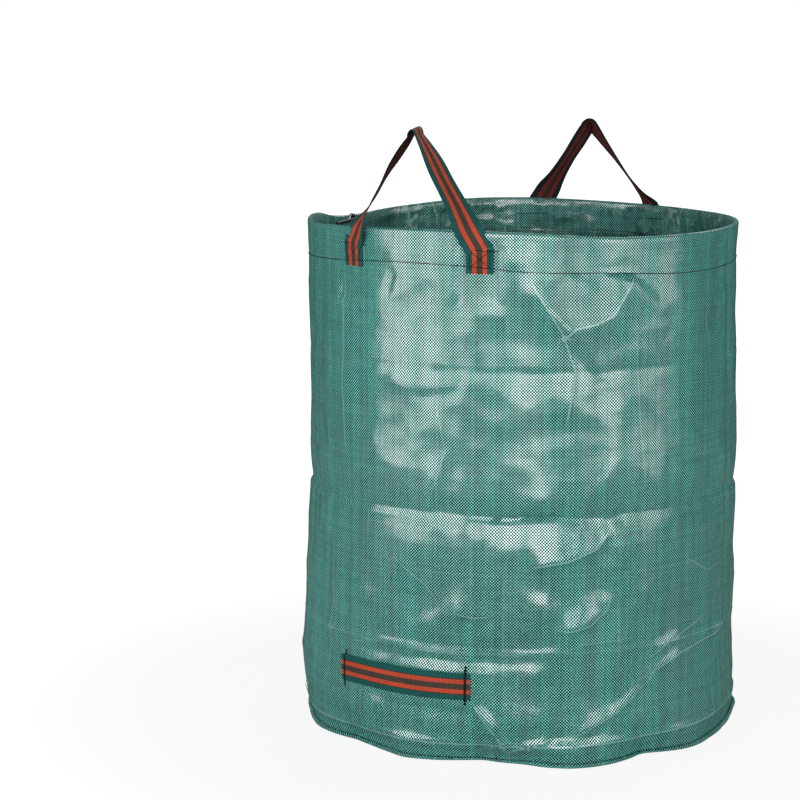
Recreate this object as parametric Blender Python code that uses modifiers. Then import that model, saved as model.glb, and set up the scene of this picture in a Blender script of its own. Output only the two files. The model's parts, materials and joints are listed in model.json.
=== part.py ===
"""Round garden waste bag of laminated woven cloth, with a hoop in its hem and three webbing handles.

The floor is z = 0 and the bag's axis is +Z. The front handle's middle is at -Y.
Metres; angles in degrees, counted round +Z from +X.
"""

import math

import bmesh
import bpy
from mathutils import Matrix, Vector

# The bag's body
BAG_DIAMETER = 0.670
BAG_HEIGHT = 0.770
CLOTH = 0.0006
WAIST_HEIGHT = 0.600
WAIST_INSET = 0.004
BELLY_HEIGHT = 0.070
BELLY_OUTSET = 0.004

# The hem at the rim, folded inwards over the hoop
HEM_DEPTH = 0.050
TURN_UNDER = 0.004
HOOP_DIAMETER = 0.005
HOOP_PLAY = 0.0008
HEM_SLACK = 0.0088
HOOP_DESCENT = 0.090
HOOP_CROSSING = 0.010
HOOP_TAIL = 0.062
HOOP_TAIL_DROP = 0.006

# The eyelet in the hem's inner ply
EYELET_NEAR = 178.0
EYELET_DEPTH = 0.0145
EYELET_DIAMETER = 0.0195
EYELET_BORE = 0.0120
EYELET_WALL = 0.0005
EYELET_FLANGE = 0.0010
WASHER_THICKNESS = 0.0005

# The handles and the webbing that they are cut from
STRAP_WIDTH = 0.040
STRAP = 0.0013
FRONT_ANGLE = 270.0
BACK_ANGLE = 97.0
FEET_APART = 0.220
FOOT_END_DEPTH = 0.0535
FOOT_FREE_DEPTH = 0.025
FRONT_RISE = 0.151
BACK_RISE = 0.138
TWIST_START = 0.020
LEVEL_END = 0.030
APEX_ROUND = 0.009
APEX_TALL = 0.0072
CREASE_TAPER = 0.004
CREASE_EDGE = 0.00014
CREASE_GAP = 0.0003
FOLD_LIFT = 0.0013

# The sewing
THREAD = 0.0008
BOX_WIDTH = 0.032
BOX_TOP_DEPTH = 0.0270
BOX_BOTTOM_DEPTH = 0.0478
SEW_MARGIN = 0.0015
STITCH_BEND = 0.006

# The tipping handle near the floor
TIPPING_ANGLE = 268.0
TIPPING_HEIGHT = 0.115
TIPPING_LENGTH = 0.235
TIPPING_BOW = 0.003
TACK_INSET = 0.0065
TACK_WIDTH = 0.003
TACK_OVERHANG = 0.0025

# The seams
SIDE_SEAM_ANGLE = 210.0
SIDE_SEAM_WIDTH = 0.015
SIDE_SEAM_PLIES = 0.0012
BASE_SEAM_REACH = 0.007
BASE_SEAM_HEIGHT = 0.005
BASE_SEAM_ROUND = 0.0015

# Clearance between pieces that touch, and facets round the bag
GAP = 0.0003
SIDES = 72

RIM_RADIUS = BAG_DIAMETER / 2
STEP = 360 / SIDES
FACET_SAG = RIM_RADIUS * (1 - math.cos(math.pi / SIDES))
HEM_BOTTOM = BAG_HEIGHT - HEM_DEPTH
INNER_PLY_BOTTOM = HEM_BOTTOM - TURN_UNDER
WALL_TOP = HEM_BOTTOM - GAP
FOLD_HEIGHT = BAG_HEIGHT + FOLD_LIFT
FOLD_RADIUS = HOOP_DIAMETER / 2 + HOOP_PLAY + CLOTH / 2
EYELET_ANGLE = (math.floor(EYELET_NEAR / STEP) + 0.5) * STEP

CLOTH_GREEN = (0.115, 0.38, 0.31)
LINING_GREEN = (0.03, 0.12, 0.10)
BINDING_GREEN = (0.012, 0.06, 0.05)
WEBBING_RED = (0.52, 0.07, 0.035)
THREAD_GREEN = (0.008, 0.03, 0.028)
HOOP_BLACK = (0.012, 0.012, 0.013)
NICKEL = (0.78, 0.78, 0.76)


def start_empty():
    for item in list(bpy.data.objects):
        bpy.data.objects.remove(item, do_unlink=True)
    parts = bpy.data.collections.new("garden_waste_bag")
    cutters = bpy.data.collections.new("cutters")
    bpy.context.scene.collection.children.link(parts)
    bpy.context.scene.collection.children.link(cutters)
    return parts, cutters


PARTS, CUTTERS = start_empty()


def finish(name, colour, roughness, metallic=0.0):
    made = bpy.data.materials.new(name)
    made.use_nodes = True
    shader = made.node_tree.nodes["Principled BSDF"]
    shader.inputs["Base Color"].default_value = (*colour, 1)
    shader.inputs["Roughness"].default_value = roughness
    shader.inputs["Metallic"].default_value = metallic
    return made


def keep(name, mesh, material, smooth=True):
    """Puts a mesh into the bag as the piece of that name."""
    piece = bpy.data.objects.new(name, mesh)
    mesh.materials.clear()
    mesh.materials.append(material)
    if smooth:
        mesh.shade_smooth()
        mesh.set_sharp_from_angle(angle=math.radians(35))
    PARTS.objects.link(piece)
    return piece


def outward(angle):
    return Vector((math.cos(math.radians(angle)), math.sin(math.radians(angle)), 0))


def round_bag(radius, arc, height, middle):
    """The point at an arc length from a middle angle, on a circle round the bag."""
    return outward(middle + math.degrees(arc / radius)) * radius + Vector((0, 0, height))


def ease(share):
    share = min(max(share, 0), 1)
    return share * share * (3 - 2 * share)


def wall_radius(height):
    """Outside of the wall: straight under the hem, drawn in at the waist, wider near the floor."""
    line = [
        (0.0, RIM_RADIUS),
        (BELLY_HEIGHT, RIM_RADIUS + BELLY_OUTSET),
        (WAIST_HEIGHT, RIM_RADIUS - WAIST_INSET),
        (HEM_BOTTOM - 2 * TURN_UNDER, RIM_RADIUS),
        (BAG_HEIGHT, RIM_RADIUS),
    ]
    for (low, inner), (high, outer) in zip(line, line[1:]):
        if height <= high:
            return inner + (outer - inner) * max(height - low, 0) / (high - low)
    return RIM_RADIUS


def sheet(rows):
    """An open surface through rows of points, each row as long as the others."""
    mesh = bpy.data.meshes.new("sheet")
    wide = len(rows[0])
    points = [point for row in rows for point in row]
    faces = []
    for i in range(len(rows) - 1):
        for j in range(wide - 1):
            corner = i * wide + j
            faces.append((corner, corner + 1, corner + wide + 1, corner + wide))
    mesh.from_pydata(points, [], faces)
    return mesh


def thicken(piece, thickness, group=None):
    """Makes cloth or webbing of an open surface, half of its thickness on each side."""
    solid = piece.modifiers.new("thickness", "SOLIDIFY")
    solid.thickness = thickness
    solid.offset = 0
    solid.use_even_offset = True
    if group:
        solid.vertex_group = group
    return solid


def turned(name, profile, material, thickness=None):
    """A profile of (radius, height) points, turned round the bag's axis."""
    mesh = bpy.data.meshes.new(name)
    closed = thickness is None
    edges = [(i, i + 1) for i in range(len(profile) - 1)]
    if closed:
        edges.append((len(profile) - 1, 0))
    mesh.from_pydata([(radius, 0, height) for radius, height in profile], edges, [])
    piece = keep(name, mesh, material)
    screw = piece.modifiers.new("turn", "SCREW")
    screw.steps = SIDES
    screw.render_steps = SIDES
    screw.use_merge_vertices = True
    screw.merge_threshold = 0.00001
    if not closed:
        thicken(piece, thickness)
    return piece


def wire(name, points, thickness, material, cyclic=False, sides=1):
    """A round thread or rod along a line of points, as a curve with filled ends."""
    curve = bpy.data.curves.new(name, "CURVE")
    curve.dimensions = "3D"
    curve.bevel_depth = thickness / 2
    curve.bevel_resolution = sides
    curve.use_fill_caps = True
    spline = curve.splines.new("POLY")
    spline.points.add(len(points) - 1)
    for node, point in zip(spline.points, points):
        node.co = (*point, 1)
    spline.use_cyclic_u = cyclic
    curve.materials.append(material)
    piece = bpy.data.objects.new(name, curve)
    PARTS.objects.link(piece)
    return piece


def mesh_of(piece):
    """The evaluated mesh of a scratch object, with its caps welded; the object is removed."""
    bpy.context.view_layer.update()
    mesh = bpy.data.meshes.new_from_object(piece.evaluated_get(bpy.context.evaluated_depsgraph_get()))
    bpy.data.objects.remove(piece, do_unlink=True)
    work = bmesh.new()
    work.from_mesh(mesh)
    bmesh.ops.remove_doubles(work, verts=work.verts, dist=0.00001)
    bmesh.ops.recalc_face_normals(work, faces=work.faces)
    work.to_mesh(mesh)
    work.free()
    return mesh


def side_wall(cloth):
    """One tall strip of cloth, sewn into a tube; it stands on the floor round the base."""
    heights = [WALL_TOP, HEM_BOTTOM - 2 * TURN_UNDER, WAIST_HEIGHT]
    heights += [(WAIST_HEIGHT + BELLY_HEIGHT) / 2, BELLY_HEIGHT, 0.0]
    profile = [(wall_radius(height) - CLOTH / 2, height) for height in heights]
    return turned("side_wall", profile, cloth, CLOTH)


def base_panel(cloth):
    """A round panel that closes the tube's foot."""
    bpy.ops.mesh.primitive_cylinder_add(
        vertices=SIDES,
        radius=wall_radius(0) - CLOTH - 2 * GAP,
        depth=CLOTH,
        location=(0, 0, CLOTH / 2),
    )
    made = bpy.context.active_object
    made.data.transform(Matrix.Translation(made.location))
    mesh = made.data
    bpy.data.objects.remove(made, do_unlink=True)
    return keep("base_panel", mesh, cloth)


def base_seam(binding, thread):
    """The bound seam allowance that stands out round the foot, and the row of stitches in it."""
    inner = wall_radius(BASE_SEAM_HEIGHT) + GAP
    outer = inner + BASE_SEAM_REACH
    profile = [
        (inner, BASE_SEAM_HEIGHT),
        (outer - BASE_SEAM_ROUND, BASE_SEAM_HEIGHT),
        (outer, BASE_SEAM_HEIGHT - BASE_SEAM_ROUND),
        (outer, BASE_SEAM_ROUND),
        (outer - BASE_SEAM_ROUND, 0),
        (inner, 0),
    ]
    turned("base_seam", profile, binding)
    height = BASE_SEAM_HEIGHT + GAP + THREAD / 2
    ring = [outward(i * STEP) * ((inner + outer) / 2) + Vector((0, 0, height)) for i in range(SIDES)]
    wire("base_seam_stitch", ring, THREAD, thread, cyclic=True)


def side_seam(cloth, thread):
    """The upright seam of the tube: its allowance lies inside, one row of thread shows outside."""
    low = CLOTH + 2 * GAP
    high = INNER_PLY_BOTTOM - GAP
    heights = [low, BELLY_HEIGHT, (WAIST_HEIGHT + BELLY_HEIGHT) / 2, WAIST_HEIGHT, high]
    inset = CLOTH + GAP + FACET_SAG + SIDE_SEAM_PLIES / 2
    rows = []
    for height in heights:
        radius = wall_radius(height) - inset
        across = (-SIDE_SEAM_WIDTH / 2, 0, SIDE_SEAM_WIDTH / 2)
        rows.append([round_bag(radius, arc, height, SIDE_SEAM_ANGLE) for arc in across])
    thicken(keep("side_seam", sheet(rows), cloth), SIDE_SEAM_PLIES)
    heights[0] = 2 * BASE_SEAM_HEIGHT
    heights[-1] = WALL_TOP - SEW_MARGIN
    heights.insert(-1, HEM_BOTTOM - 2 * TURN_UNDER)
    line = []
    for height in heights:
        radius = wall_radius(height) + GAP + THREAD / 2
        line.append(outward(SIDE_SEAM_ANGLE) * radius + Vector((0, 0, height)))
    wire("side_seam_stitch", line, THREAD, thread)


def pocket(depth):
    """Mid-surface of the hem's inner ply: how far it lies inside the outer ply's, at a depth."""
    shut = CLOTH + GAP
    if depth < EYELET_DEPTH:
        share = (depth - FOLD_RADIUS) / (EYELET_DEPTH - FOLD_RADIUS)
        return 2 * FOLD_RADIUS + (HEM_SLACK - 2 * FOLD_RADIUS) * ease(2 * share)
    share = (depth - EYELET_DEPTH) / (HEM_DEPTH - EYELET_DEPTH)
    return HEM_SLACK + (shut - HEM_SLACK) * ease(share * 1.1 - 0.1)


def eyelet_place():
    """The turn and move that put a piece made round +Z into the hem, facing the bag's inside."""
    radius = (RIM_RADIUS - CLOTH / 2 - pocket(EYELET_DEPTH)) * math.cos(math.pi / SIDES)
    turn = Matrix.Rotation(math.radians(EYELET_ANGLE), 4, "Z") @ Matrix.Rotation(-math.pi / 2, 4, "Y")
    middle = outward(EYELET_ANGLE) * radius + Vector((0, 0, BAG_HEIGHT - EYELET_DEPTH))
    return Matrix.Translation(middle) @ turn


def rim_hem(cloth):
    """The top of the cloth, folded inwards over the hoop and sewn down; its inner ply is pierced."""
    middle = RIM_RADIUS - CLOTH / 2
    top = BAG_HEIGHT - CLOTH / 2
    profile = [(middle, HEM_BOTTOM), (middle, top - FOLD_RADIUS)]
    for i in range(1, 4):
        turn = math.radians(45 * i)
        across = FOLD_RADIUS * (1 - math.cos(turn))
        profile.append((middle - across, top - FOLD_RADIUS + FOLD_RADIUS * math.sin(turn)))
    flat_top = EYELET_DEPTH - EYELET_DIAMETER / 2 - GAP
    flat_bottom = EYELET_DEPTH + EYELET_DIAMETER / 2 + GAP
    depths = [FOLD_RADIUS + CLOTH / 2, flat_top, flat_bottom]
    depths += [flat_bottom + (HEM_DEPTH - flat_bottom) * share for share in (0.4, 0.8)]
    for depth in depths:
        set_in = pocket(EYELET_DEPTH) if depth in (flat_top, flat_bottom) else pocket(depth)
        profile.append((middle - set_in, BAG_HEIGHT - depth))
    profile.append((middle - CLOTH - GAP, HEM_BOTTOM))
    profile.append((middle - CLOTH - GAP, INNER_PLY_BOTTOM))
    profile.reverse()
    hem = turned("rim_hem", profile, cloth, CLOTH)
    punch_length = pocket(EYELET_DEPTH)
    hole = EYELET_BORE / 2 + EYELET_WALL + GAP
    bpy.ops.mesh.primitive_cylinder_add(vertices=24, radius=hole, depth=punch_length)
    punch = bpy.context.active_object
    punch.name = "eyelet_punch"
    punch.matrix_world = eyelet_place()
    for home in list(punch.users_collection):
        home.objects.unlink(punch)
    CUTTERS.objects.link(punch)
    punch.hide_render = True
    punch.display_type = "WIRE"
    cut = hem.modifiers.new("eyelet hole", "BOOLEAN")
    cut.operation = "DIFFERENCE"
    cut.object = punch
    return hem


def ring_piece(name, profile, material):
    """A small turned ring, set into the hem at the eyelet."""
    mesh = bpy.data.meshes.new(name)
    edges = [(i, (i + 1) % len(profile)) for i in range(len(profile))]
    mesh.from_pydata([(radius, 0, height) for radius, height in profile], edges, [])
    piece = keep(name, mesh, material)
    screw = piece.modifiers.new("turn", "SCREW")
    screw.steps = 24
    screw.render_steps = 24
    screw.use_merge_vertices = True
    screw.merge_threshold = 0.00001
    piece.matrix_world = eyelet_place()
    return piece


def eyelet(metal):
    """A nickel-plated eyelet through the inner ply, with the washer that it is closed over."""
    bore = EYELET_BORE / 2
    outer = EYELET_DIAMETER / 2
    face = CLOTH / 2 + GAP
    back = -(face + WASHER_THICKNESS + GAP)
    flange = [
        (outer - EYELET_FLANGE / 2, face + EYELET_FLANGE),
        (outer, face + EYELET_FLANGE / 2),
        (outer, face),
        (bore + EYELET_WALL, face),
        (bore + EYELET_WALL, back),
        (bore, back),
        (bore, face + EYELET_FLANGE / 2),
        (bore + EYELET_FLANGE / 2, face + EYELET_FLANGE),
    ]
    ring_piece("rim_eyelet", flange, metal)
    hole = bore + EYELET_WALL + GAP
    washer = [
        (outer, -face),
        (outer, -face - WASHER_THICKNESS),
        (hole, -face - WASHER_THICKNESS),
        (hole, -face),
    ]
    ring_piece("eyelet_washer", washer, metal)


def rim_hoop(plastic):
    """The rod that holds the mouth open. Its tail comes out through the eyelet, along the hem."""
    resting = RIM_RADIUS - CLOTH - HOOP_PLAY - HOOP_DIAMETER / 2
    top = BAG_HEIGHT - CLOTH - HOOP_PLAY - HOOP_DIAMETER / 2
    low = BAG_HEIGHT - EYELET_DEPTH
    flange_face = CLOTH / 2 + GAP + EYELET_FLANGE
    inside = RIM_RADIUS - CLOTH / 2 - pocket(EYELET_DEPTH) - flange_face
    inside -= HOOP_DIAMETER / 2 + HOOP_PLAY + 2 * GAP
    points = []
    start = EYELET_ANGLE + 2 * STEP
    first = math.ceil(start / STEP)
    descent_degrees = math.degrees((HOOP_DESCENT + 2 * HOOP_CROSSING) / resting)
    last = math.floor((EYELET_ANGLE + 360 - descent_degrees) / STEP)
    for i in range(first, last + 1):
        points.append(outward(i * STEP) * resting + Vector((0, 0, top)))
    run = math.radians(EYELET_ANGLE + 360 - last * STEP) * resting
    falling = [-run + (run - HOOP_CROSSING) * i / 12 for i in range(1, 12)]
    through = [-HOOP_CROSSING + 2 * HOOP_CROSSING * i / 10 for i in range(11)]
    tail = [HOOP_CROSSING + (HOOP_TAIL - HOOP_CROSSING) * i / 6 for i in range(1, 7)]
    for arc in falling + through + tail:
        drop = ease((arc + run) / (run - 2 * HOOP_CROSSING))
        height = top + (low - top) * drop
        height -= HOOP_TAIL_DROP * max(arc - HOOP_CROSSING, 0) / (HOOP_TAIL - HOOP_CROSSING)
        inward = ease((arc + HOOP_CROSSING) / (2 * HOOP_CROSSING))
        radius = resting + (inside - resting) * inward
        angle = EYELET_ANGLE + math.degrees(arc / resting)
        points.append(outward(angle) * radius + Vector((0, 0, height)))
    return wire("rim_hoop", points, HOOP_DIAMETER, plastic, sides=2)


def feet(handle_angle):
    """The angles of a handle's two feet; left is as seen from outside the bag."""
    half = math.degrees(FEET_APART / 2 / RIM_RADIUS)
    return {"left": handle_angle - half, "right": handle_angle + half}


def leg_line(rise):
    """How far from the middle a leg is at a height over the fold, and its slope across the height."""
    foot = RIM_RADIUS * math.sin(FEET_APART / 2 / RIM_RADIUS)
    below = FOLD_LIFT + FOOT_FREE_DEPTH
    slope = foot / (rise + below)
    return foot - slope * below, slope


def fold_radius(rise):
    """How far out the fold line lies, so that a folded handle clears the rim."""
    middle, slope = leg_line(rise)
    nearest = middle - STRAP_WIDTH / 2 * math.hypot(1, slope)
    return math.sqrt(RIM_RADIUS**2 - nearest**2) + GAP + STRAP / 2


def fade_group(piece, count, wide, tapered):
    """Thins the webbing towards its crease, as a share of its full thickness for each row."""
    group = piece.vertex_groups.new(name="webbing")
    for i in range(count):
        share = tapered[i]
        group.add([i * wide + j for j in range(wide)], share, "REPLACE")


def handle_end(name, side, handle_angle, rise, webbing):
    """A sewn end: flat on the hem up to the top stitch, then free, up to the fold line."""
    sign = 1 if side == "right" else -1
    foot = feet(handle_angle)[side]
    middle, slope = leg_line(rise)
    half_fold = STRAP_WIDTH / 2 * math.hypot(1, slope)
    chord = fold_radius(rise)
    radius = RIM_RADIUS + GAP + STRAP / 2
    across = [STRAP_WIDTH * (i / 6 - 0.5) for i in range(7)]
    crease = FOLD_HEIGHT - CREASE_GAP
    out = outward(handle_angle)
    along = outward(handle_angle + 90)
    fold = []
    for arc in across:
        place = out * chord + along * (sign * middle + arc / STRAP_WIDTH * 2 * half_fold)
        fold.append(place + Vector((0, 0, crease)))
    free = BAG_HEIGHT - FOOT_FREE_DEPTH
    lowest = BAG_HEIGHT - FOOT_END_DEPTH
    rows = []
    for height in (lowest, (lowest + free) / 2, free):
        rows.append([round_bag(radius, arc, height, foot) for arc in across])
    shares = [0.25, 0.5, (crease - CREASE_TAPER - free) / (crease - free), 1.0]
    for share in shares:
        height = free + (crease - free) * share
        row = []
        for arc, corner in zip(across, fold):
            sewn = round_bag(radius, arc, height, foot)
            place = sewn.lerp(corner, share)
            place.z = height
            row.append(place)
        rows.append(row)
    piece = keep(name, sheet(rows), webbing)
    full = [1.0] * (len(rows) - 1) + [CREASE_EDGE / STRAP]
    fade_group(piece, len(rows), len(across), full)
    thicken(piece, STRAP, "webbing")
    return piece


def handle_loop(name, handle_angle, rise, webbing):
    """The free loop. Its origin is on the fold line; each leg turns a quarter up to the apex.

    Local axes: X is outward, Y runs along the fold line, Z is up.
    """
    middle, slope = leg_line(rise)
    lean = math.atan(slope)
    leg_up = math.cos(lean)
    leg_in = math.sin(lean)
    stop = 1 - APEX_ROUND / rise
    heights = [CREASE_GAP, CREASE_TAPER]
    heights += [CREASE_TAPER + (rise * stop - CREASE_TAPER) * i / 12 for i in range(1, 13)]
    half = STRAP_WIDTH / 2
    right = []
    for height in heights:
        twist = math.pi / 2 * ease((height - TWIST_START) / (rise * stop - TWIST_START))
        level = ease(height / LEVEL_END)
        spread = half * math.cos(twist) * Vector((0, leg_up, leg_in * level))
        spread.y *= 1 + (math.hypot(1, slope) / leg_up - 1) * (1 - level)
        spread -= Vector((half * math.sin(twist), 0, 0))
        centre = Vector((0, middle - slope * height, height))
        right.append([centre - spread, centre + spread])
    reach = middle - slope * rise * stop
    crown = []
    for i in range(1, 4):
        turn = math.pi / 2 * i / 4
        centre = Vector((0, reach * math.cos(turn), rise * stop + APEX_TALL * math.sin(turn)))
        crown.append([centre + Vector((half, 0, 0)), centre - Vector((half, 0, 0))])
    top = Vector((0, 0, rise * stop + APEX_TALL))
    peak = [[top + Vector((half, 0, 0)), top - Vector((half, 0, 0))]]
    mirrored = [[Vector((p.x, -p.y, p.z)) for p in row] for row in (right + crown)[::-1]]
    rows = right + crown + peak + mirrored
    mesh = sheet(rows)
    piece = keep(name, mesh, webbing)
    shares = [1.0] * len(rows)
    shares[0] = CREASE_EDGE / STRAP
    shares[-1] = CREASE_EDGE / STRAP
    fade_group(piece, len(rows), 2, shares)
    thicken(piece, STRAP, "webbing")
    piece.location = outward(handle_angle) * fold_radius(rise) + Vector((0, 0, FOLD_HEIGHT))
    piece.rotation_euler.z = math.radians(handle_angle)
    return piece


def box_stitch(name, foot, thread):
    """The boxed cross of thread that holds one end of a handle, bent round the hem."""
    bar = THREAD
    wide = BOX_WIDTH / 2
    tall = (BOX_BOTTOM_DEPTH - BOX_TOP_DEPTH) / 2

    def loop(curve, corners):
        points = []
        for (x0, y0), (x1, y1) in zip(corners, corners[1:] + corners[:1]):
            pieces = max(1, round(math.hypot(x1 - x0, y1 - y0) / STITCH_BEND))
            for i in range(pieces):
                points.append((x0 + (x1 - x0) * i / pieces, y0 + (y1 - y0) * i / pieces))
        spline = curve.splines.new("POLY")
        spline.points.add(len(points) - 1)
        for node, (x, y) in zip(spline.points, points):
            node.co = (x, y, 0, 1)
        spline.use_cyclic_u = True

    curve = bpy.data.curves.new(name, "CURVE")
    curve.dimensions = "2D"
    curve.fill_mode = "BOTH"
    curve.extrude = THREAD / 2
    loop(curve, [(-wide, -tall), (wide, -tall), (wide, tall), (-wide, tall)])
    diagonal = math.hypot(wide, tall)
    for sign in (1, -1):
        edge = wide - bar
        point = bar / 2 * diagonal / tall
        rise = (edge - point) * tall / wide
        loop(curve, [(sign * point, 0), (sign * edge, rise), (sign * edge, -rise)])
        edge = tall - bar
        point = bar / 2 * diagonal / wide
        run = (edge - point) * wide / tall
        loop(curve, [(0, sign * point), (run, sign * edge), (-run, sign * edge)])
    flat = bpy.data.objects.new(name, curve)
    PARTS.objects.link(flat)
    mesh = mesh_of(flat)
    face = RIM_RADIUS + 2 * GAP + STRAP + THREAD / 2
    height = BAG_HEIGHT - (BOX_BOTTOM_DEPTH + BOX_TOP_DEPTH) / 2
    for vertex in mesh.vertices:
        across, up, out = vertex.co
        angle = foot + math.degrees(across / face)
        vertex.co = outward(angle) * (face + out) + Vector((0, 0, height + up))
    return keep(name, mesh, thread, smooth=False)


def hem_stitch(thread):
    """The row of stitches that closes the hem; it runs over the four sewn handle ends."""
    low = RIM_RADIUS + GAP + THREAD / 2
    high = low + STRAP + GAP
    spots = {i * STEP: low for i in range(SIDES)}
    beside = math.degrees((STRAP_WIDTH / 2 + SEW_MARGIN) / RIM_RADIUS)
    clear = math.degrees((STRAP_WIDTH / 2 + 3 * SEW_MARGIN) / RIM_RADIUS)
    for handle_angle in (FRONT_ANGLE, BACK_ANGLE):
        for foot in feet(handle_angle).values():
            spots = {spot: r for spot, r in spots.items() if abs((spot - foot + 180) % 360 - 180) > clear}
            for offset, radius in ((-clear, low), (clear, low)):
                spots[(foot + offset) % 360] = radius
            for i in range(5):
                spots[(foot + beside * (i / 2 - 1)) % 360] = high
    ring = [outward(spot) * spots[spot] + Vector((0, 0, HEM_BOTTOM)) for spot in sorted(spots)]
    return wire("hem_stitch", ring, THREAD, thread, cyclic=True)


def handle(word, handle_angle, rise, webbing, thread):
    handle_loop(word + "_handle_loop", handle_angle, rise, webbing)
    for side, foot in feet(handle_angle).items():
        handle_end(f"{word}_handle_end_{side}", side, handle_angle, rise, webbing)
        box_stitch(f"{word}_box_stitch_{side}", foot, thread)


def tipping_handle(webbing, thread):
    """The grip for emptying the bag: webbing laid along the wall, tacked down near both ends."""
    edges = (TIPPING_HEIGHT - STRAP_WIDTH / 2, TIPPING_HEIGHT + STRAP_WIDTH / 2)
    seat = wall_radius(TIPPING_HEIGHT)
    rows = []
    for i in range(13):
        share = i / 12
        bow = TIPPING_BOW * math.sin(math.pi * share) ** 2
        angle = TIPPING_ANGLE + math.degrees(TIPPING_LENGTH * (share - 0.5) / seat)
        row = []
        for height in edges:
            radius = wall_radius(height) + GAP + STRAP / 2 + bow
            row.append(outward(angle) * radius + Vector((0, 0, height)))
        rows.append(row)
    thicken(keep("tipping_handle", sheet(rows), webbing), STRAP)
    for side, sign in (("left", -1), ("right", 1)):
        arc = sign * (TIPPING_LENGTH / 2 - TACK_INSET)
        bow = TIPPING_BOW * math.sin(math.pi * (TACK_INSET + TACK_WIDTH) / TIPPING_LENGTH) ** 2
        near = GAP + THREAD / 2
        over = GAP + STRAP + bow + GAP + THREAD / 2
        half = STRAP_WIDTH / 2
        line = [
            (near, -half - TACK_OVERHANG),
            (near, -half - GAP - THREAD),
            (over, -half - GAP),
            (over, 0),
            (over, half + GAP),
            (near, half + GAP + THREAD),
            (near, half + TACK_OVERHANG),
        ]
        rows = []
        for out, up in line:
            height = TIPPING_HEIGHT + up
            radius = wall_radius(height) + out
            ends = (arc - TACK_WIDTH / 2, arc + TACK_WIDTH / 2)
            rows.append([round_bag(radius, end, height, TIPPING_ANGLE) for end in ends])
        thicken(keep(f"tipping_tack_{side}", sheet(rows), thread), THREAD)


def build():
    cloth = finish("woven_cloth", CLOTH_GREEN, 0.35)
    lining = finish("cloth_inside", LINING_GREEN, 0.45)
    binding = finish("seam_binding", BINDING_GREEN, 0.6)
    webbing = finish("webbing", WEBBING_RED, 0.8)
    thread = finish("thread", THREAD_GREEN, 0.6)
    plastic = finish("hoop_plastic", HOOP_BLACK, 0.4)
    metal = finish("nickel", NICKEL, 0.25, 1.0)
    side_wall(cloth)
    base_panel(cloth)
    base_seam(binding, thread)
    side_seam(lining, thread)
    rim_hem(cloth)
    rim_hoop(plastic)
    eyelet(metal)
    hem_stitch(thread)
    handle("front", FRONT_ANGLE, FRONT_RISE, webbing, thread)
    handle("back", BACK_ANGLE, BACK_RISE, webbing, thread)
    tipping_handle(webbing, thread)


build()
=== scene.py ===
import json
import math

import bmesh
import bpy
import numpy as np
from mathutils import Matrix, Vector, noise


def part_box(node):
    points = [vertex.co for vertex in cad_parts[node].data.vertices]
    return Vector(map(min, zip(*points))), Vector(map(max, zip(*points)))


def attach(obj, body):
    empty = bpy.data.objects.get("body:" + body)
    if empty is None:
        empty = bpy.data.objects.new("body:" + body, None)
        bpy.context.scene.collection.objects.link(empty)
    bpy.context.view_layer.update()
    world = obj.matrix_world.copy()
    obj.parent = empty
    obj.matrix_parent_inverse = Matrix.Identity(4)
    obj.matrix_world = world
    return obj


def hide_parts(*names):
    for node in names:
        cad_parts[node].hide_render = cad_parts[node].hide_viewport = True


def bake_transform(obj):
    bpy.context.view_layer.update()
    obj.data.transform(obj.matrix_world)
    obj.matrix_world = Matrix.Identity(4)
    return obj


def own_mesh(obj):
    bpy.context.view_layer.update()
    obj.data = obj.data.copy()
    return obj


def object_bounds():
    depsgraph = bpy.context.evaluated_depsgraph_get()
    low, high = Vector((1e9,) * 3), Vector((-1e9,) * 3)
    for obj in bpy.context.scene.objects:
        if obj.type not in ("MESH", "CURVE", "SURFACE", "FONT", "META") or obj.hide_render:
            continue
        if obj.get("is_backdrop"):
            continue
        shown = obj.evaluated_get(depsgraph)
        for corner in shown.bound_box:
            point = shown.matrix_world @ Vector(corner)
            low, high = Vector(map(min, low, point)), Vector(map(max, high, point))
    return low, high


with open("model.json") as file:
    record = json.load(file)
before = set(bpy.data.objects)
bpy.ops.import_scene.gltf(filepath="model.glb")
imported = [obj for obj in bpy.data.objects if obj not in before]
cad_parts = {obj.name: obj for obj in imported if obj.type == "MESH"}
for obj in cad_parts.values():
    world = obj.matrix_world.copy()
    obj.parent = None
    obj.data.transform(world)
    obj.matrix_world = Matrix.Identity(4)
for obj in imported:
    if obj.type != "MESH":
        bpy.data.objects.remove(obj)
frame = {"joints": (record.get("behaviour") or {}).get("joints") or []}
cad_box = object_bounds()

# Side wall. One strip of woven tape cloth under a glossy film, sewn into a tube that hangs from the hoop.
# It is stiff enough to keep the creases that it was packed with, and buckles into flat facets between them.
FACE = 299.2  # the side that creases are counted from, in degrees round +Z from +X


def middle_of(node):
    """The middle of one part's box."""
    low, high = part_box(node)
    return (low + high) / 2


def side_of(point):
    """The side of the bag that a point lies on, in degrees from the face."""
    return math.degrees(math.atan2(point.y, point.x)) - FACE


BAG_RADIUS = 0.335
CLOTH = 0.0006
COLUMNS = 348
WALL_ROWS = 136
PAIRS_ROUND = 468  # pairs of tapes in one turn
TAPE = math.tau * BAG_RADIUS / PAIRS_ROUND / 2
RIM_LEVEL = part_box("rim_hem")[1].z
HEM_LEVEL = middle_of("hem_stitch").z
TONGUE = 0.025  # how far the wall reaches up behind the hem
TONGUE_INSET = 0.0009
WALL_FOOT = 0.0014  # the wall's lower edge over the floor
FLANGE = 0.0055  # the base seam's reach
FOOT_FADE = 0.038

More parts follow.
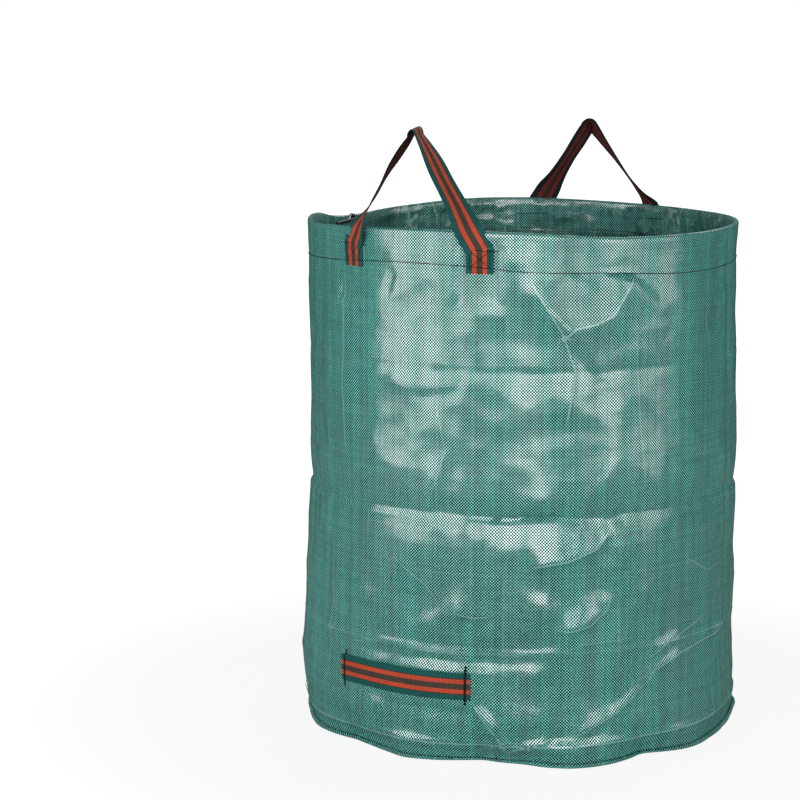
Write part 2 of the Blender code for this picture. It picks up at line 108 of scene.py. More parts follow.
# Waves of the rim and of the thread line under the hem: degrees from the face, then metres over the level
RIM_WAVE = [
    (-180, 0.007), (-165, 0.006), (-149, 0), (-137, -0.005), (-126, -0.010), (-119, -0.0105),
    (-112, -0.008), (-102, 0.001), (-96, 0.0025), (-85, 0.001), (-72, 0), (-64, 0.002), (-50, 0.0045),
    (-26, 0.008), (0, 0.006), (19, -0.001), (52, -0.003), (79, 0), (126, 0), (180, 0.007),
]
HEM_WAVE = [
    (-180, 0.006), (-120, -0.005), (-77, -0.002), (-60, 0.002), (-46, 0.006), (-30, 0.0095),
    (-10, 0.006), (0, 0.001), (24, -0.003), (43, -0.009), (59, -0.009), (82, -0.005), (120, 0.001),
    (180, 0.006),
]
# The wall's outline: height, then radius. The foot's: degrees, then radius at the floor
OUTLINE = [
    (0, 0.3350), (0.03, 0.3372), (0.06, 0.3376), (0.12, 0.335), (0.23, 0.333), (0.39, 0.331),
    (0.55, 0.328), (0.65, 0.3265), (0.714, 0.3272), (0.78, 0.3308),
]
FOOT = [
    (-180, 0.338), (-150, 0.334), (-120, 0.338), (-95, 0.335), (-80, 0.3325), (-60, 0.338), (-53, 0.3315),
    (-49, 0.3265), (-43, 0.3275), (-35, 0.3336), (-30, 0.340), (-22, 0.335), (-14, 0.3245), (-10, 0.318),
    (-5, 0.3215), (1.6, 0.3255), (7, 0.338), (12.6, 0.347), (21, 0.3455), (29, 0.3357), (34, 0.326),
    (40, 0.334), (48, 0.343), (60, 0.3386), (72, 0.3355), (83, 0.3372), (94, 0.344), (106, 0.336),
    (130, 0.341), (155, 0.334), (180, 0.338),
]
LOBE = 0.0015  # the tube bulges to the right of the face and is flatter to the left

# Creases: how far out the crest stands, its slopes' reach on the left and right hand of the line,
# the share of the line over which each end fades, then the line itself, in degrees and heights
CREASES = [
    (-0.0017, 0.007, 0.036, 0.1, [(-76, 0.374), (-59, 0.375), (-51.6, 0.366), (-42, 0.355), (-17, 0.360),
                                  (-5, 0.366)]),
    (-0.0050, 0.008, 0.060, 0.1, [(-9, 0.3645), (2.5, 0.369), (23, 0.362), (27, 0.363)]),
    (-0.0016, 0.007, 0.036, 0.1, [(20, 0.362), (37, 0.365), (53.5, 0.361), (83, 0.341)]),
    (-0.0009, 0.006, 0.030, 0.05, [(-76, 0.568), (-54, 0.576), (-34, 0.576), (-17, 0.576), (2.5, 0.576),
                                   (13, 0.575), (31, 0.580), (77, 0.556)]),
    (0.0024, 0.022, 0.008, 0.45, [(-52, 0.152), (-40, 0.164), (-33, 0.166), (-20, 0.162), (-6, 0.166)]),
    (0.0012, 0.012, 0.008, 0.35, [(-5, 0.166), (-1, 0.165), (11, 0.171), (16, 0.180), (26, 0.183),
                                  (32, 0.189)]),
    (0.0035, 0.050, 0.050, 0.2, [(-52.4, 0.722), (-52.1, 0.635), (-52.9, 0.548), (-51, 0.42)]),
    (0.0012, 0.016, 0.016, 0.2, [(-4, 0.307), (-3.8, 0.115)]),
    (0.0014, 0.018, 0.018, 0.2, [(13.5, 0.150), (13.8, 0.029)]),
    (0.0012, 0.014, 0.014, 0.3, [(25.6, 0.24), (26.1, 0.138)]),
    (0.0024, 0.034, 0.034, 0.2, [(29.7, 0.64), (31.3, 0.504), (33.2, 0.385)]),
    (0.0046, 0.050, 0.040, 0.12, [(1.8, 0.716), (3.3, 0.696), (10.3, 0.631), (13.7, 0.577), (11.1, 0.495)]),
    (0.0085, 0.085, 0.105, 0.12, [(10, 0.622), (13.3, 0.640), (18.5, 0.645), (23, 0.656), (29.5, 0.717)]),
    (-0.0018, 0.014, 0.014, 0.3, [(10.0, 0.716), (14.5, 0.705), (20, 0.690)]),
    (0.0055, 0.050, 0.014, 0.12, [(2.7, 0.296), (12, 0.305), (19.5, 0.322), (23.5, 0.352)]),
    (-0.0018, 0.008, 0.008, 0.3, [(23.5, 0.363), (20.4, 0.33)]),
    (0.0036, 0.050, 0.010, 0.15, [(9.0, 0.204), (12.7, 0.201), (17.9, 0.209), (22.0, 0.228), (23.8, 0.255)]),
    (0.0028, 0.040, 0.012, 0.2, [(-17, 0.228), (-12, 0.219), (-7, 0.222)]),
    (0.0024, 0.120, 0.012, 0.2, [(-38, 0.560), (-30, 0.550), (-22, 0.552), (-14, 0.560)]),
    (-0.0018, 0.007, 0.012, 0.3, [(-33.5, 0.722), (-34.5, 0.705), (-36.5, 0.672)]),
    (0.0036, 0.022, 0.014, 0.25, [(33.4, 0.143), (41.2, 0.169), (58, 0.198)]),
    (0.0036, 0.018, 0.016, 0.25, [(29.0, 0.112), (45.3, 0.149), (72.7, 0.168)]),
    (0.0030, 0.017, 0.012, 0.3, [(11.7, 0.038), (26, 0.078), (36.3, 0.121)]),
    (0.0040, 0.020, 0.012, 0.25, [(-4, 0.016), (8.7, 0.044)]),
    (0.0036, 0.016, 0.022, 0.2, [(-12, 0.098), (-4.9, 0.041), (-3, 0.016)]),
    (-0.0020, 0.012, 0.010, 0.3, [(52.5, 0.482), (56, 0.462)]),
    (-0.0020, 0.012, 0.010, 0.3, [(66.5, 0.356), (71, 0.340)]),
    (0.0025, 0.030, 0.030, 0.3, [(-57, 0.340), (-56, 0.20), (-60, 0.06)]),
    (0.0022, 0.030, 0.012, 0.3, [(-34, 0.30), (-24, 0.262), (-20, 0.232)]),
    (-0.0016, 0.012, 0.020, 0.3, [(38, 0.46), (52, 0.435), (66, 0.44)]),
    (0.0022, 0.030, 0.014, 0.3, [(44, 0.300), (56, 0.262), (70, 0.268)]),
    (0.0020, 0.024, 0.024, 0.3, [(-22, 0.54), (-19, 0.46), (-24, 0.375)]),
    (0.0022, 0.024, 0.020, 0.3, [(60, 0.70), (55, 0.64), (58, 0.585)]),
]
BACK_SHARE = 0.85
CREASE_TOP = 0.004  # the hem's folds end this far over the hem's thread line
CREASE_END = 0.014
# Buckled lumps in the lower wall: degrees, height, half size along and up, lean of the long side, rise
LUMPS = [
    (-15.5, 0.226, 0.022, 0.036, 0.35, 0.0058), (-22, 0.205, 0.016, 0.024, 0.6, 0.0040),
    (7, 0.232, 0.030, 0.022, -0.2, 0.0040), (15, 0.212, 0.020, 0.026, 0.5, 0.0040),
    (4, 0.392, 0.034, 0.020, 0.1, 0.0026), (21, 0.418, 0.012, 0.026, 0.3, 0.0030),
    (-7, 0.060, 0.010, 0.044, -0.7, 0.0042), (2, 0.128, 0.020, 0.018, 0.6, 0.0020),
    (6, 0.022, 0.032, 0.010, 0.5, 0.0034), (-28, 0.318, 0.040, 0.026, 0.1, 0.0022),
    (34, 0.245, 0.036, 0.022, -0.4, 0.0030), (46, 0.130, 0.040, 0.018, 0.5, 0.0026),
    (-44, 0.235, 0.034, 0.026, -0.4, 0.0030), (-38, 0.070, 0.040, 0.018, -0.3, 0.0026),
]
# Flat patches where webbing lies on the cloth: degrees, height, half size along and up
PRESSED = [
    (-31.7, 0.115, 0.125, 0.024), (-10.2, 0.728, 0.026, 0.047), (-48.2, 0.728, 0.026, 0.047),
    (139.0, 0.728, 0.026, 0.047), (176.6, 0.728, 0.026, 0.047),
]
CRUMPLE = [(0.110, 0.0036), (0.048, 0.0018), (0.022, 0.0005)]  # cell, depth
SWELL = (0.26, 0.0042)  # the same of the wide waves
FAR = 0.02  # stands for no fold near


def smooth(places, knots):
    """A smooth line through knots of (place, value), read at an array of places."""
    known, values = np.array(knots, float).T
    slopes = np.gradient(values, known)
    i = np.clip(np.searchsorted(known, places) - 1, 0, len(known) - 2)
    wide = known[i + 1] - known[i]
    t = np.clip((places - known[i]) / wide, 0, 1)
    ahead = (3 - 2 * t) * t * t
    start = slopes[i] * wide * t * (1 - t) ** 2
    stop = slopes[i + 1] * wide * t * t * (1 - t)
    return values[i] * (1 - ahead) + values[i + 1] * ahead + start - stop


def ease(share):
    share = np.clip(share, 0, 1)
    return share * share * (3 - 2 * share)


def turn_to(side, other):
    """Degrees from one side of the bag to another, the short way."""
    return (side - other + 180) % 360 - 180


def arc_to(side, other):
    """Metres along the wall from one side to another, the short way."""
    return np.radians(turn_to(side, other)) * BAG_RADIUS


def rim_at(side):
    """Height of the rim."""
    return RIM_LEVEL + smooth(turn_to(side, 0), RIM_WAVE)


def hem_at(side):
    """Height of the thread line under the hem."""
    return HEM_LEVEL + smooth(turn_to(side, 0), HEM_WAVE)


def place(side, radius, height):
    """Points in the bag's frame, by degrees from the face, radius and height."""
    angle = np.radians(np.asarray(side, float) + FACE)
    return np.stack(np.broadcast_arrays(np.cos(angle) * radius, np.sin(angle) * radius, height), -1)


def crease(side, height, line):
    """Distance from a crease's line, whether a point is on its left hand, and its share of the length."""
    points = np.array(line, float)
    middle = points[:, 0].mean()
    x = arc_to(side, middle)
    corners = np.stack([np.radians(points[:, 0] - middle) * BAG_RADIUS, points[:, 1]], -1)
    lengths = np.hypot(*np.diff(corners, axis=0).T)
    nearest = np.full(x.shape, 9.0)
    left = np.zeros(x.shape, bool)
    share = np.zeros(x.shape)
    gone = 0.0
    for (x0, z0), (x1, z1), length in zip(corners, corners[1:], lengths):
        t = np.clip(((x - x0) * (x1 - x0) + (height - z0) * (z1 - z0)) / length**2, 0, 1)
        away = np.hypot(x - x0 - t * (x1 - x0), height - z0 - t * (z1 - z0))
        better = away < nearest
        nearest = np.where(better, away, nearest)
        left = np.where(better, (x1 - x0) * (height - z0) - (z1 - z0) * (x - x0) > 0, left)
        share = np.where(better, (gone + t * length) / lengths.sum(), share)
        gone += length
    return nearest, left, share


def turned_to_back(line):
    """The same crease mirrored on to the other side of the bag, running the same way."""
    return [(turn_to(180 - side, 0), height) for side, height in line[::-1]]


BACK = [(rise * BACK_SHARE, *reaches, turned_to_back(line)) for rise, *reaches, line in CREASES]


def noise_at(points, cell):
    """Smooth noise at an array of points."""
    return np.array([noise.noise(Vector(point) / cell) for point in points])


def cells_at(points, cell):
    """How far points lie from the middle of their own cell of a crumple, in cells."""
    return np.array([noise.voronoi(Vector(point) / cell)[0][0] for point in points])


def wall_face(side, height):
    """At arrays of places: radius of the cloth's outer face, its crest whitening, partly painted highlight,
    and its way off the next fold.
    """
    side, height = np.broadcast_arrays(np.asarray(side, float), np.asarray(height, float))
    radius = smooth(height, OUTLINE)
    radius = radius + LOBE * np.sin(np.radians(side)) * ease(height / 0.2) * ease((0.76 - height) / 0.2)
    foot = smooth(side, FOOT) - FLANGE - OUTLINE[0][1]
    radius = radius + foot * np.exp(-((height / FOOT_FADE) ** 2))
    moved = np.zeros(side.shape)
    worn = np.zeros(side.shape)
    off_fold = np.full(side.shape, FAR)
    below_hem = ease((hem_at(side) + CREASE_TOP - height) / CREASE_END)
    for rise, left_reach, right_reach, fade, line in CREASES + BACK:
        away, left, share = crease(side, height, line)
        reach = np.where(left, left_reach, right_reach)
        end = ease(np.minimum(share, 1 - share) / fade) * below_hem
        moved += rise * end * np.clip(1 - away / reach, 0, 1) ** 1.6
        if rise > 0:
            nearer = away < np.abs(off_fold)
            off_fold = np.where(nearer, np.where(left, away, -away), off_fold)
            # Pale line along an outward fold's crest: partly whitened film, partly a painted highlight where
            # the crest catches the light.
            worn = np.maximum(worn, end * ease((0.016 - away) / 0.008) * min(1, rise / 0.005))
    for middle, level, along, up, lean, rise in LUMPS:
        for turn, size in ((middle, 1), (180 - middle, BACK_SHARE)):
            x = arc_to(side, turn)
            z = height - level
            across = (x - lean * z) / along
            moved += rise * size * np.exp(-across * across - (z / up) ** 2)
    flat = place(side, BAG_RADIUS, height).reshape(-1, 3)
    dents = SWELL[1] * noise_at(flat, SWELL[0])
    for cell, depth in CRUMPLE:
        dents += depth * (cells_at(flat, cell) ** 2 - 0.25)
    loose = 1 + 0.6 * ease((0.42 - height) / 0.25)
    moved += dents.reshape(side.shape) * loose * ease(height / 0.05)
    for middle, level, along, up in PRESSED:
        x = np.abs(arc_to(side, middle)) / along
        z = np.abs(height - level) / up
        under = ease((1.5 - np.maximum(x, z)) / 0.5)
        moved = moved * (1 - under) - 0.0004 * under
    moved *= ease((RIM_LEVEL - 0.002 - height) / 0.035) * 0.85 + 0.15
    return radius + moved, worn, off_fold


def show(name, data):
    """Puts a mesh, curve, lamp or camera in the scene."""
    made = bpy.data.objects.new(name, data)
    bpy.context.scene.collection.objects.link(made)
    return made


def dress(piece, *materials):
    """Gives a piece its materials, in the order of its slots."""
    for material in materials:
        piece.data.materials.append(material)


def round_off(mesh, sharp):
    """Shades a mesh smooth, but for edges sharper than so many degrees."""
    mesh.shade_smooth()
    mesh.set_sharp_from_angle(angle=math.radians(sharp))


def solid(name, front, back, along, up, cyclic=True):
    """A closed sheet from the points of its front and back, rows by columns, with its weave as a UV map.

    Columns run counter-clockwise as seen from above and rows run up, so that the front faces out.
    """
    rows, columns = front.shape[:2]
    last = columns if cyclic else columns - 1
    i, j = np.meshgrid(np.arange(rows - 1), np.arange(last), indexing="ij")
    i, j = i.ravel(), j.ravel()
    k = (j + 1) % columns
    behind = rows * columns
    fore = np.stack([i * columns + j, i * columns + k, (i + 1) * columns + k, (i + 1) * columns + j], -1)
    rear = fore[:, ::-1] + behind
    corner_along = np.stack([along[j], along[j + 1], along[j + 1], along[j]], -1)
    corner_up = np.stack([up[i, j], up[i, k], up[i + 1, k], up[i + 1, j]], -1)
    n = np.arange(last)
    m = (n + 1) % columns
    top = (rows - 1) * columns
    low_edge = np.stack([n, n + behind, m + behind, m], -1)
    high_edge = np.stack([top + n, top + m, top + m + behind, top + n + behind], -1)
    faces = [fore, rear, low_edge, high_edge]
    uvs = [np.stack([corner_along, corner_up], -1)]
    uvs.append(uvs[0][:, ::-1])
    uvs.append(np.stack([along[[n, n, n + 1, n + 1]].T, up[0, [n, n, m, m]].T], -1))
    uvs.append(np.stack([along[[n, n + 1, n + 1, n]].T, up[-1, [n, m, m, n]].T], -1))
    slots = [np.zeros(len(fore)), np.ones(len(rear)), np.zeros(len(n)), np.zeros(len(n))]
    if not cyclic:
        for column, flip in ((0, 1), (columns - 1, -1)):
            r = np.arange(rows - 1) * columns + column
            faces.append(np.stack([r, r + columns, r + columns + behind, r + behind], -1)[:, ::flip])
            s = np.arange(rows - 1)
            high = np.stack([up[s, column], up[s + 1, column], up[s + 1, column], up[s, column]], -1)
            uvs.append(np.stack([np.full(high.shape, along[column]), high], -1)[:, ::flip])
            slots.append(np.zeros(len(r)))
    mesh = bpy.data.meshes.new(name)
    points = np.concatenate([front.reshape(-1, 3), back.reshape(-1, 3)])
    mesh.from_pydata(points.tolist(), [], np.concatenate(faces).tolist())
    layer = mesh.uv_layers.new(name="weave")
    layer.data.foreach_set("uv", np.concatenate(uvs).astype(np.float32).ravel())
    mesh.polygons.foreach_set("material_index", np.concatenate(slots).astype(np.int32))
    round_off(mesh, 50)
    return show(name, mesh)


def mark(piece, name, values):
    """Writes a number for each point of a sheet's front, and the same on its back."""
    attribute = piece.data.attributes.new(name, "FLOAT", "POINT")
    attribute.data.foreach_set("value", np.concatenate([values.ravel()] * 2).astype(np.float32))


sides = np.arange(COLUMNS) * 360 / COLUMNS - 180
turns = np.linspace(0, math.tau * BAG_RADIUS, COLUMNS + 1)
hem_line = hem_at(sides)
rim_line = rim_at(sides)
share = np.linspace(0, 1, WALL_ROWS)[:, None]
heights = WALL_FOOT + share * (hem_line - WALL_FOOT)
wide = np.broadcast_to(sides, heights.shape)
outer, worn, off_fold = wall_face(wide, heights)
tongue = hem_line + np.array([[0.0003], [0.4 * TONGUE], [TONGUE]])
tucked = np.stack([wall_face(sides, hem_line)[0] - TONGUE_INSET] * 3)
heights = np.concatenate([heights, tongue])
outer = np.concatenate([outer, tucked])
worn = np.concatenate([worn, np.zeros(tongue.shape)])
off_fold = np.concatenate([off_fold, np.full(tongue.shape, FAR)])
wide = np.broadcast_to(sides, heights.shape)
wall = solid("bag_wall", place(wide, outer, heights), place(wide, outer - CLOTH, heights), turns, heights)
# The pale crest lines, partly painted highlight, go to the shader as the attribute worn.
mark(wall, "worn", worn)
mark(wall, "off_fold", off_fold)


class Shade:
    """One number or colour in a node tree that changes from place to place. Sums of it add Math nodes."""

    def __init__(self, nodes, socket):
        self.nodes = nodes
        self.socket = socket

    def __add__(self, other):
        return self.nodes.math("ADD", self, other)

    def __sub__(self, other):
        return self.nodes.math("SUBTRACT", self, other)

    def __rsub__(self, other):
        return self.nodes.math("SUBTRACT", other, self)

    def __mul__(self, other):
        return self.nodes.math("MULTIPLY", self, other)

    def __truediv__(self, other):
        return self.nodes.math("DIVIDE", self, other)

    __radd__ = __add__
    __rmul__ = __mul__


class Nodes:
    """A node tree under way: every node of it is added through this."""

    def __init__(self, tree):
        self.tree = tree

    def set(self, socket, value):
        if isinstance(value, Shade):
            self.tree.links.new(value.socket, socket)
        elif hasattr(value, "__len__") and len(value) == 3 and len(socket.default_value) == 4:
            socket.default_value = (*value, 1)
        else:
            socket.default_value = value

    def node(self, kind, settings=None, sockets=None, out=0):
        made = self.tree.nodes.new(kind)
        for name, value in (settings or {}).items():
            if name == "stops":
                ramp = made.color_ramp
                while len(ramp.elements) < len(value):
                    ramp.elements.new(0.5)
                for element, (where, colour) in zip(ramp.elements, value):
                    element.position = where
                    element.color = (*colour, 1)
            elif name == "interpolation":
                made.color_ramp.interpolation = value
            else:
                setattr(made, name, value)
        for name, value in (sockets or {}).items():
            self.set(made.inputs[name], value)
        return Shade(self, made.outputs[out])

    def math(self, operation, *values):
        return self.node("ShaderNodeMath", {"operation": operation}, dict(enumerate(values)))

    def range(self, value, low, high, start=0.0, stop=1.0):
        sockets = {"Value": value, "From Min": low, "From Max": high, "To Min": start, "To Max": stop}
        return self.node("ShaderNodeMapRange", {"interpolation_type": "SMOOTHSTEP"}, sockets)


class Paint(Nodes):
    """A material under way."""

    def __init__(self, name, **constants):
        self.material = bpy.data.materials.new(name)
        self.material.use_nodes = True
        super().__init__(self.material.node_tree)
        self.shader = self.tree.nodes["Principled BSDF"]
        for socket, value in constants.items():
            self.shader.inputs[socket.replace("_", " ")].default_value = value

    def mix(self, share, first, second):
        settings = {"data_type": "RGBA", "clamp_factor": True}
        return self.node("ShaderNodeMix", settings, {0: share, 6: first, 7: second}, out=2)

    def weave(self):
        """The cloth's own coordinates, in metres along and up."""
        where = self.node("ShaderNodeUVMap", {"uv_map": "weave"})
        return [self.node("ShaderNodeSeparateXYZ", None, {0: where}, out=letter) for letter in "XY"]

    def noise(self, scale, detail=2.0, stretch=None, roughness=0.5):
        spot = self.node("ShaderNodeTexCoord", out="Object")
        if stretch:
            spot = self.node("ShaderNodeVectorMath", {"operation": "MULTIPLY"}, {0: spot, 1: stretch})
        sockets = {"Vector": spot, "Scale": scale, "Detail": detail, "Roughness": roughness}
        return self.node("ShaderNodeTexNoise", None, sockets)

    def cells(self, scale):
        """Distance to the middles of cells whose sides are a little bent."""
        spot = self.node("ShaderNodeTexCoord", out="Object")
        sockets = {"Vector": spot, "Scale": scale * 0.7, "Detail": 1.0}
        bent = self.node("ShaderNodeTexNoise", None, sockets, out="Color")
        spot = self.node("ShaderNodeVectorMath", {"operation": "MULTIPLY_ADD"},
                         {0: bent, 1: (0.6 / scale,) * 3, 2: spot})
        return self.node("ShaderNodeTexVoronoi", None, {"Vector": spot, "Scale": scale})

    def scaled(self, colour, share):
        """A colour made lighter or darker."""
        return self.node("ShaderNodeVectorMath", {"operation": "SCALE"}, {0: colour, 3: share})

    def relief(self, height):
        """Surface relief, given in metres."""
        bump = self.node("ShaderNodeBump", None, {"Strength": 1.0, "Distance": 1.0, "Height": height})
        self.set(self.shader.inputs["Normal"], bump)

    def finish(self, colour, roughness):
        self.set(self.shader.inputs["Base Color"], colour)
        self.set(self.shader.inputs["Roughness"], roughness)
        return self.material


# Colour of the pale crest lines and scratches: partly whitened film, partly painted highlight.
WHITENED_FILM_AND_HIGHLIGHT = (0.55, 0.82, 0.77)
TAPE_ARCH = 0.00007


def tape_cloth(name, pale, dark, film, crinkle, scratches_and_highlights, mottle):
    """Plain weave under a film, which shines where an upright tape lies over, and creases and whitens; the
    whitening is partly painted highlight.
    """
    paint = Paint(name, Coat_Roughness=0.19, Coat_IOR=3.9, Specular_IOR_Level=0.03)
    along, up = paint.weave()
    column = along / TAPE
    row = up / TAPE
    column_number = paint.math("FLOOR", column)
    row_number = paint.math("FLOOR", row)
    upright_over = paint.math("FLOORED_MODULO", column_number + row_number, 2.0)
    across = paint.math("FRACT", column) * 2 - 1
    upward = paint.math("FRACT", row) * 2 - 1
    arch_along = 1 - across * across
    arch_up = 1 - upward * upward
    arch = arch_up * upright_over + arch_along * (1 - upright_over)
    warp_tone = paint.node("ShaderNodeTexWhiteNoise", {"noise_dimensions": "1D"}, {"W": column_number})
    weft_tone = paint.node("ShaderNodeTexWhiteNoise", {"noise_dimensions": "1D"}, {"W": row_number + 0.5})
    cloud = paint.noise(7.0, 3.0)
    streak = paint.noise(30.0, 4.0, stretch=(6, 6, 0.3), roughness=0.65)
    # Random tone by tape, cloud and streak; the strong mottle of the inside cloths is also painted light and
    # shade of crumpled lumps.
    uneven = (cloud * 0.24 + streak * 0.40) * mottle
    tone = 0.74 - mottle * 0.32 + warp_tone * 0.30 + weft_tone * 0.16 + uneven
    gap = paint.range(arch_along * arch_up, 0.02, 0.36)
    cover = paint.range(upright_over * gap, 0.2, 0.8)
    colour = paint.mix(cover, dark, pale)
    colour = paint.scaled(colour, tone)
    near_fold = paint.node("ShaderNodeAttribute", {"attribute_name": "worn"}, out="Fac")
    off_fold = paint.node("ShaderNodeAttribute", {"attribute_name": "off_fold"}, out="Fac")
    off_fold = paint.math("ABSOLUTE", off_fold)
    # Pale line on each fold's crest: partly whitened film, partly a painted highlight.
    line = paint.range(off_fold, 0.0, 0.0016, 1.0, 0.0) * near_fold
    # Pale squiggles: partly scratched, whitened film, partly painted highlights on crinkles.
    winding = paint.math("ABSOLUTE", paint.noise(24.0, 2.0, stretch=(1.4, 1.4, 0.6)) - 0.5)
    lines = paint.range(winding, 0.0, 0.040, 1.0, 0.0)
    broken = paint.range(paint.noise(110.0, 3.0), 0.36, 0.52)
    near = paint.range(paint.noise(13.0, 1.0), 0.44, 0.62)
    scratch_and_highlight_marks = lines * broken * near * scratches_and_highlights * (gap * 0.75 + 0.25)
    # Share of the pale film colour: whitening plus painted highlights on crests and crinkles.
    white = paint.math("MINIMUM", line * 0.5 + scratch_and_highlight_marks, 0.8)
    colour = paint.mix(white, colour, WHITENED_FILM_AND_HIGHLIGHT)
    facets = paint.cells(21.0) * 0.0028 + paint.cells(52.0) * 0.0018 + paint.noise(130.0, 2.0) * 0.0005
    sharp = paint.range(off_fold, 0.0, 0.006, 1.0, 0.0) * near_fold * 0.0007
    zone = paint.range(paint.noise(9.0, 1.0), 0.38, 0.62, 0.55, 1.7)
    paint.relief(facets * zone * crinkle + arch * TAPE_ARCH + sharp)
    band = paint.range(paint.noise(10.0, 3.0, stretch=(3, 3, 0.28)), 0.36, 0.60, 0.50, 1.0)
    paint.set(paint.shader.inputs["Coat Weight"], cover * film * band)
    sheen = paint.range(paint.noise(14.0, 2.0), 0.35, 0.65, 0.36, 0.54)
    return paint.finish(colour, sheen)


cloth_face = tape_cloth("tape_cloth", (0.22, 0.86, 0.74), (0.001, 0.020, 0.016),
                        film=1.0, crinkle=1.0, scratches_and_highlights=0.05, mottle=1.0)
# Inside cloths: their stronger scratches are partly painted crinkle highlights, and their stronger mottle is
# partly painted lump shade.
cloth_inside = tape_cloth("tape_cloth_inside", (0.19, 0.62, 0.54), (0.006, 0.045, 0.040),
                          film=0.8, crinkle=3.4, scratches_and_highlights=0.40, mottle=2.2)
# The lining is a lighter copy of the face cloth: painted light against the shade inside the bag.
lining_cloth = tape_cloth("tape_cloth_lining", (0.32, 0.86, 0.76), (0.012, 0.070, 0.062),
                          film=0.9, crinkle=4.2, scratches_and_highlights=0.90, mottle=2.0)
dress(wall, cloth_face, cloth_inside)
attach(wall, "bag")
collapse = next(joint for joint in frame["joints"] if joint["name"] == "rim_collapse")
LET_DOWN = collapse["range_m"][0]
WALL_KEEP = 1 + LET_DOWN / (HEM_LEVEL + 0.004)
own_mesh(wall)
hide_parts("side_wall")

# Rim hem. The top 50 mm of the strip is folded inwards over the hoop and sewn down, which leaves a pocket.
# Its inner ply is pierced for the eyelet.
FOLD = 0.0036  # radius of the fold's middle surface
TURN_UNDER = 0.004
OUTER_ROWS = 11
FOLD_ROWS = 5
INNER_ROWS = 16
PLY_GAP = 0.0020  # between the plies at the stitches, where the wall's edge lies
EYELET_SIDE = side_of(middle_of("rim_eyelet"))
EYELET_LEVEL = middle_of("rim_eyelet").z - 0.003
EYELET_INSET = 0.0068  # of the inner ply at the eyelet; the rod lies before it
EYELET_FLAT = 0.0115  # the ply is flat this far round the eyelet
EYELET_BORE = 0.0060


def plies(middle, thickness, cyclic=True):
    """The two faces of a sheet of even thickness, from its middle surface."""
    if cyclic:
        along = np.roll(middle, -1, 1) - np.roll(middle, 1, 1)
    else:
        along = np.gradient(middle, axis=1)
    normal = np.cross(along, np.gradient(middle, axis=0))
    normal /= np.linalg.norm(normal, axis=2, keepdims=True)
    return middle + normal * thickness / 2, middle - normal * thickness / 2


def hem_inset(side, depth, full):
    """How far the inner ply lies inside the outer one, at a depth below the rim."""
    share = np.clip((depth - FOLD) / (full - FOLD), 0, 1)
    inset = PLY_GAP + (2 * FOLD - PLY_GAP) * (1 - share) ** 1.2
    from_eyelet = np.hypot(arc_to(side, EYELET_SIDE), depth - (RIM_LEVEL - 0.007 - EYELET_LEVEL))
    near = ease((EYELET_FLAT + 0.016 - from_eyelet) / 0.016)
    return inset + (EYELET_INSET - inset) * near, near


def inner_ply(side, level):
    """Radius of the inner ply's middle surface, at arrays of places. It is a little loose and rucked."""
    rim = rim_at(side)
    full = rim - hem_at(side)
    inset, near = hem_inset(side, rim - level, full)
    spots = place(side, BAG_RADIUS, level) + (5, 0, 0)
    ridges = 0.0026 * cells_at(spots, 0.032) ** 2 + 0.0016 * np.abs(noise_at(spots, 0.02))
    loose = ridges * (1 - near) * ease((rim - level - FOLD) / (full - FOLD) * 5)
    return wall_face(side, np.minimum(level, rim))[0] - CLOTH / 2 - inset - loose


rows = []
fold_line = rim_line - CLOTH / 2 - FOLD
for step in range(OUTER_ROWS):
    level = hem_line + step / (OUTER_ROWS - 1) * (fold_line - hem_line)
    rows.append((wall_face(sides, level)[0] - CLOTH / 2, level))
crown = rows[-1][0]
for step in range(1, FOLD_ROWS + 1):
    turn = math.pi * step / (FOLD_ROWS + 1)
    rows.append((crown - FOLD * (1 - math.cos(turn)), fold_line + FOLD * math.sin(turn)))
for step in range(INNER_ROWS):
    level = fold_line + step / (INNER_ROWS - 1) * (hem_line - TURN_UNDER - fold_line)
    rows.append((inner_ply(sides, level), level))
hem_middle = np.stack([place(sides, radius, level) for radius, level in rows])
outside, inside = plies(hem_middle, CLOTH)
steps = np.linalg.norm(np.diff(hem_middle, axis=0), axis=2)
run = np.concatenate([hem_line[None], hem_line + np.cumsum(steps, axis=0)])
hem = solid("rim_fold", outside, inside, turns, run)
lining_faces = np.zeros(len(hem.data.polygons), np.int32)
lining_faces[(OUTER_ROWS + FOLD_ROWS // 2) * COLUMNS:] = 1
hem.data.polygons.foreach_set("material_index", lining_faces)
dress(hem, cloth_face, lining_cloth)


def plain_mesh(piece):
    """Makes a piece with its modifiers a plain mesh, and takes the modifiers off."""
    bpy.context.view_layer.update()
    graph = bpy.context.evaluated_depsgraph_get()
    evaluated = piece.evaluated_get(graph)
    mesh = bpy.data.meshes.new_from_object(evaluated, preserve_all_data_layers=True, depsgraph=graph)
    if piece.type == "MESH":
        piece.modifiers.clear()
        piece.data = mesh
        return piece
    name = piece.name
    bpy.data.objects.remove(piece, do_unlink=True)
    return show(name, mesh)


eyelet_radius = float(wall_face(EYELET_SIDE, EYELET_LEVEL)[0]) - CLOTH / 2 - EYELET_INSET
eyelet_middle = Vector(place(EYELET_SIDE, eyelet_radius, EYELET_LEVEL))
eyelet_turn = Matrix.Rotation(math.radians(EYELET_SIDE + FACE), 4, "Z")
eyelet_frame = Matrix.Translation(eyelet_middle) @ eyelet_turn @ Matrix.Rotation(-math.pi / 2, 4, "Y")
bpy.ops.mesh.primitive_cylinder_add(vertices=48, radius=EYELET_BORE + 0.0006, depth=0.007)
punch = bpy.context.active_object
punch.matrix_world = eyelet_frame
cut = hem.modifiers.new("eyelet hole", "BOOLEAN")
cut.operation = "DIFFERENCE"
cut.object = punch
plain_mesh(hem)
bpy.data.objects.remove(punch, do_unlink=True)
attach(hem, "rim")
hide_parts("rim_hem")

